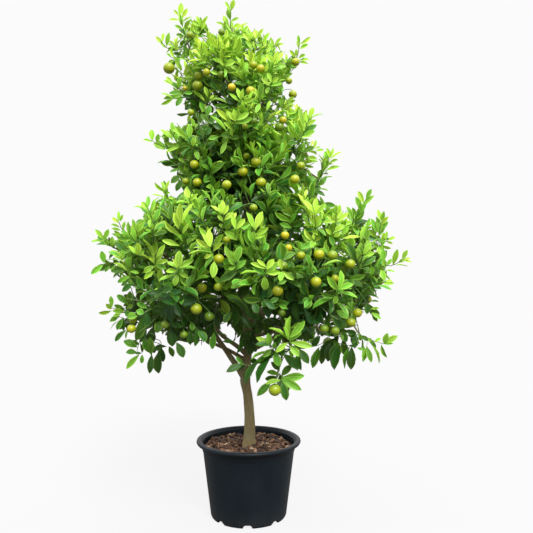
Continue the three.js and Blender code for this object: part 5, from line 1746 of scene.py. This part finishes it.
fruitColours = {
    "ripe": [
        (0.0, (0.045, 0.11, 0.006)),
        (0.3, (0.16, 0.24, 0.006)),
        (0.5, (0.29, 0.31, 0.005)),
        (0.7, (0.45, 0.34, 0.006)),
        (1.0, (0.6, 0.24, 0.008)),
    ],
    "greenTop": -0.12,
    "blotch": 0.2,
    "roughness": 0.38,
    "glands": 900,
    "relief": (0.3, 0.0003),
}


def fruitMaterial():
    # rind: greener round the stalk, yellower below, mottled, and pitted by fine oil glands
    material, tree, shader = newMaterial("citrus_rind")
    place = objectPlace(tree)
    blotch = fruitColours["blotch"]
    mottle = mathNode(tree, "MULTIPLY_ADD", noiseNode(tree, 55, 3, place), blotch, -blotch / 2)
    green = rangeNode(tree, attributeNode(tree, "fruitHigh"), 0.2, 1.0, 0.0, fruitColours["greenTop"])
    # the ripeness also carries painted shade: fruits in shade are given a darker, greener rind
    ripe = mathNode(tree, "ADD", mathNode(tree, "ADD", attributeNode(tree, "fruitRipenessWithPaintedShade"), green), mottle)
    glands = addNode(tree, "ShaderNodeTexVoronoi", {"Scale": fruitColours["glands"], "Vector": place})
    fill(tree, shader, {
        "Base Color": rampNode(tree, ripe, fruitColours["ripe"]),
        "Roughness": fruitColours["roughness"],
        "IOR": 1.45,
        "Normal": bumpNode(tree, glands.outputs["Distance"], *fruitColours["relief"]),
    })
    return material


potColours = {
    "base": [(0.3, (0.002, 0.0045, 0.0072)), (0.7, (0.0036, 0.0072, 0.0108))],
    "scuffs": (0.04, 0.046, 0.052),
    "scuffShare": 0.35,
    "dust": (0.09, 0.075, 0.055),
    "dustShare": 0.16,
    "dustTo": 0.05,
    "roughness": (0.38, 0.5),
    "shine": 0.23,
    "relief": (0.25, 0.0002),
}


def potMaterial():
    # moulded plastic: near-black with a blue-grey cast, a fine grain, faint scuffs and a little dust low down
    material, tree, shader = newMaterial("nursery_plastic")
    place = objectPlace(tree)
    cloud = noiseNode(tree, 14, 4, place)
    scuffs = noiseNode(tree, 1.0, 5, stretched(tree, place, (30, 30, 260)), 0.7)
    share = rangeNode(tree, scuffs, 0.62, 0.8, 0, potColours["scuffShare"])
    scuffed = mixNode(tree, share, rampNode(tree, cloud, potColours["base"]), potColours["scuffs"])
    low = rangeNode(tree, heightIn(tree, place), 0.0, potColours["dustTo"], potColours["dustShare"], 0.0)
    dusty = mathNode(tree, "MULTIPLY", low, noiseNode(tree, 40, 4, place))
    fill(tree, shader, {
        "Base Color": mixNode(tree, dusty, scuffed, potColours["dust"]),
        "Roughness": rangeNode(tree, cloud, 0.3, 0.7, *potColours["roughness"]),
        "Specular IOR Level": potColours["shine"],
        "Normal": bumpNode(tree, noiseNode(tree, 1100, 2, place), *potColours["relief"]),
    })
    return material


earthColours = {
    "shades": [(0.35, (0.012, 0.006, 0.003)), (0.65, (0.07, 0.034, 0.018))],
    "roughness": 0.95,
    "relief": (1.0, 0.003),
}


def earthMaterial():
    material, tree, shader = newMaterial("potting_soil")
    crumbs = noiseNode(tree, 260, 6, objectPlace(tree), 0.7)
    fill(tree, shader, {
        "Base Color": rampNode(tree, crumbs, earthColours["shades"]),
        "Roughness": earthColours["roughness"],
        "Normal": bumpNode(tree, crumbs, *earthColours["relief"]),
    })
    return material


chipColours = {
    "shades": [
        (0.0, (0.014, 0.006, 0.003)),
        (0.4, (0.058, 0.026, 0.011)),
        (0.72, (0.135, 0.064, 0.029)),
        (0.93, (0.25, 0.143, 0.076)),
        (1.0, (0.48, 0.36, 0.24)),
    ],
    "tone": (0.95, -0.14),  # how far chips differ, and how much darker all of them are
    "fibres": 0.35,
    "roughness": 0.85,
    "relief": (0.8, 0.0012),
}


def chipMaterial():
    # chips of bark: dark red-brown to a few pale ones, with a fibrous grain
    material, tree, shader = newMaterial("bark_chips")
    tone = mathNode(tree, "MULTIPLY_ADD", attributeNode(tree, "chipTone"), *chipColours["tone"])
    fibres = noiseNode(tree, 420, 4, objectPlace(tree), 0.7)
    mixed = mathNode(tree, "MULTIPLY_ADD", fibres, chipColours["fibres"], tone)
    fill(tree, shader, {
        "Base Color": rampNode(tree, mixed, chipColours["shades"]),
        "Roughness": chipColours["roughness"],
        "Normal": bumpNode(tree, fibres, *chipColours["relief"]),
    })
    return material


# The tree is put together

leafFinish = leafMaterial()
greenFinish = greenWoodMaterial()
barkFinish = barkMaterial()

makeTrunk(barkFinish)
print("trunk and limbs made")

makePot(potMaterial())
makeSoil(earthMaterial())
makeChips(chipMaterial())
print("pot, soil and bark chips made")

fruits = placeFruits(np.random.default_rng(fruitShape["seed"]))
onSprays = clearOfStems(sprayShoots(), fruits)
onLimbs = clearOfStems(insideShoots(), fruits)
inBack = clearOfStems(backShoots(), fruits)
onSight = seenStems()
groups = {
    "spray": leavesOnShoots(onSprays, shoots["firstLeaf"], shoots["leafSeed"]),
    "seen": seenLeaves(onSight),
    "inner": leavesOnShoots(onLimbs, innerShoots["firstLeaf"], innerShoots["leafSeed"]),
    "filling": leavesOnShoots(sprigFillers(), sighted["fillFirst"], sighted["fillSeed"]),
    "back": leavesOnShoots(inBack, backTwigs["firstLeaf"], backTwigs["leafSeed"]),
}
leaves = {
    key: np.concatenate([group[key] for group in groups.values()], -1 if key == "turn" else 0)
    for key in groups["seen"]
}
kind = np.repeat(list(groups), [len(group["age"]) for group in groups.values()])
inside = (kind == "inner") | (kind == "back")

# a leaf stays when it is inside the outline or fills up a seen sprig, and hides and touches nothing that it
# shouldn't. The seen leaves all stay
blades = leafBlades(leaves)
seenBlades = blades[kind == "seen"]
probe = blades[:, 2::2]
probeSeen = pixelOf(probe)
kept = insideOutline(blades[:, leafTip]) | (kind == "filling") & nearSeen(blades, seenBlades)
kept &= clearOfFruits(probe, probeSeen, fruits) & clearOfSeen(probeSeen, seenBlades)
kept &= clearOfLeader(probeSeen) & clearOfGaps(probeSeen)
kept &= (leaves["broad"] > 0) & (blades[..., 1].min(1) > fitted["nearest"])
kept |= kind == "seen"
print("leaves:", len(kept), "of which left out:", int((~kept).sum()))


def makeLeaves(name, chosen, replaced=()):
    mine = np.flatnonzero(kept & chosen)
    number = len(mine)
    values = {
        "leafAgeWithPaintedLight": np.repeat(leaves["age"][mine], leafCorners),
        "leafTone": np.repeat(leaves["tone"][mine], leafCorners),
        "leafAlong": np.tile(np.clip(np.repeat(leafShape["rows"], leafColumns), 0, 1), number),
        "leafAcross": np.tile(leafShape["columns"], leafRows * number),
    }
    quads = repeated(leafQuads, number, leafCorners)
    makePiece(name, blades[mine].reshape(-1, 3), quads, [], leafFinish, "foliage", replaced, values)


for index, name in enumerate(sprays):
    makeLeaves("leaves_" + name, ~inside & (leaves["owner"] == index), ["spray_" + name])
high = leaves["root"][:, 2] > innerShoots["split"]
makeLeaves("inner_leaves_low", inside & ~high)
makeLeaves("inner_leaves_high", inside & high)
print("leaves made for", len(sprays), "sprays and the inner crown")


twigs = {"radiusFoot": 3.2, "radiusTip": 1.9, "sag": 0.12, "sides": 7, "rings": 10}


def tapered(share, foot, tip):
    return foot * (1 - share) + tip * share


def makeStems():
    # green stems: tubes along the shoots. Twigs: woody tubes from the nearest place on a limb to each heart.
    share = np.linspace(0, 1, shoots["stemRings"])
    parts = [bezier(*made[:3], share) for made in (onSprays, onLimbs, inBack, onSight)]
    thick = tapered(share, shoots["radiusFoot"], shoots["radiusTip"])
    thicker = tapered(share, sighted["radiusFoot"], sighted["radiusTip"])
    radii = [np.broadcast_to(r, part.shape[:2]) for r, part in zip((thick, thick, thick, thicker), parts)]
    stems = tubes(np.concatenate(parts), np.concatenate(radii), shoots["stemSides"])
    makePiece("green_stems", *stems, greenFinish, "foliage")
    start = woodNear(hearts)
    middle = (start + hearts) / 2 - up * twigs["sag"] * np.linalg.norm(hearts - start, axis=1, keepdims=True)
    share = np.linspace(0, 1, twigs["rings"])
    lines = bezier(start, middle, hearts, share)
    radii = np.broadcast_to(tapered(share, twigs["radiusFoot"], twigs["radiusTip"]), lines.shape[:2])
    makePiece("woody_twigs", *tubes(lines, radii, twigs["sides"]), barkFinish, "bark")


makeStems()
makeFruits(fruits, fruitMaterial(), greenFinish)
print("stems, twigs and", len(fruits["centre"]), "fruits made")


# Studio: a pale floor, a bright plain surround, a sky that lights the plant and one soft sun

studio = {
    "floor": (0.3, 0.3, 0.3),
    "floorBounce": (0.12, 0.12, 0.115),
    "floorGlow": 0.88,
    "floorSize": 9.0,
    "floorClouds": 0.98,
    "surround": (0.973, 0.965, 0.973),
    "sky": [(0.0, (0.2, 0.2, 0.2)), (0.5, (0.3, 0.3, 0.3)), (0.75, (1.6, 1.6, 1.63)), (1.0, (3.2, 3.2, 3.2))],
    "sunPlace": (0.7, -2.2, 3.1),
    "sunAim": (0.0, 0.0, 0.75),
    "sunAngle": 0.45,
    "sunPower": 5.0,
}


def makeFloor():
    # the floor is bright where it is seen, and throws back less light than that on the plant
    size, tone = studio["floorSize"], studio["floor"]
    mesh = bpy.data.meshes.new("floor")
    corners = [(-size, -size, 0), (size, -size, 0), (size, size, 0), (-size, size, 0)]
    mesh.from_pydata(corners, [], [(0, 1, 2, 3)])
    material, tree, shader = newMaterial("pale_floor")
    shades = [(0.3, tuple(t * studio["floorClouds"] for t in tone)), (0.7, tone)]
    fill(tree, shader, {
        "Base Color": rampNode(tree, noiseNode(tree, 3, 2, objectPlace(tree)), shades),
        "Roughness": 0.9,
        "Specular IOR Level": 0.0,
    })
    glow = addNode(tree, "ShaderNodeEmission", {"Color": studio["surround"]})
    dull = addNode(tree, "ShaderNodeBsdfDiffuse", {"Color": studio["floorBounce"]})
    bright = mixShader(tree, studio["floorGlow"], shader.outputs[0], glow.outputs[0])
    seen = tree.nodes.new("ShaderNodeLightPath").outputs["Is Camera Ray"]
    showSurface(tree, mixShader(tree, seen, dull.outputs[0], bright))
    mesh.materials.append(material)
    floor = placed("floor", mesh)


def makeSurround():
    # the surround is plain where it is seen, and lights the plant as a sky that is brightest overhead
    world = bpy.data.worlds.new("surround")
    world.use_nodes = True
    tree = world.node_tree
    height = heightIn(tree, tree.nodes.new("ShaderNodeTexCoord").outputs["Generated"])
    colour = rampNode(tree, rangeNode(tree, height, -1, 1, 0, 1), studio["sky"])
    sky = fill(tree, tree.nodes["Background"], {"Color": colour})
    plain = addNode(tree, "ShaderNodeBackground", {"Color": studio["surround"]})
    seen = tree.nodes.new("ShaderNodeLightPath").outputs["Is Camera Ray"]
    showSurface(tree, mixShader(tree, seen, sky.outputs[0], plain.outputs[0]), "World Output")
    bpy.context.scene.world = world


def makeSun():
    # the sun stands at its place and shines on what it is aimed at
    light = bpy.data.lights.new("sun", "SUN")
    light.angle = studio["sunAngle"]
    light.energy = studio["sunPower"]
    sun = placed("sun", light)
    sun.location = studio["sunPlace"]
    x, y, z = np.subtract(studio["sunPlace"], studio["sunAim"])
    sun.rotation_euler = (math.atan2(math.hypot(x, y), z), 0, math.atan2(x, -y))


makeFloor()
makeSurround()
makeSun()
bpy.context.scene.view_settings.view_transform = "Standard"
print("studio made")
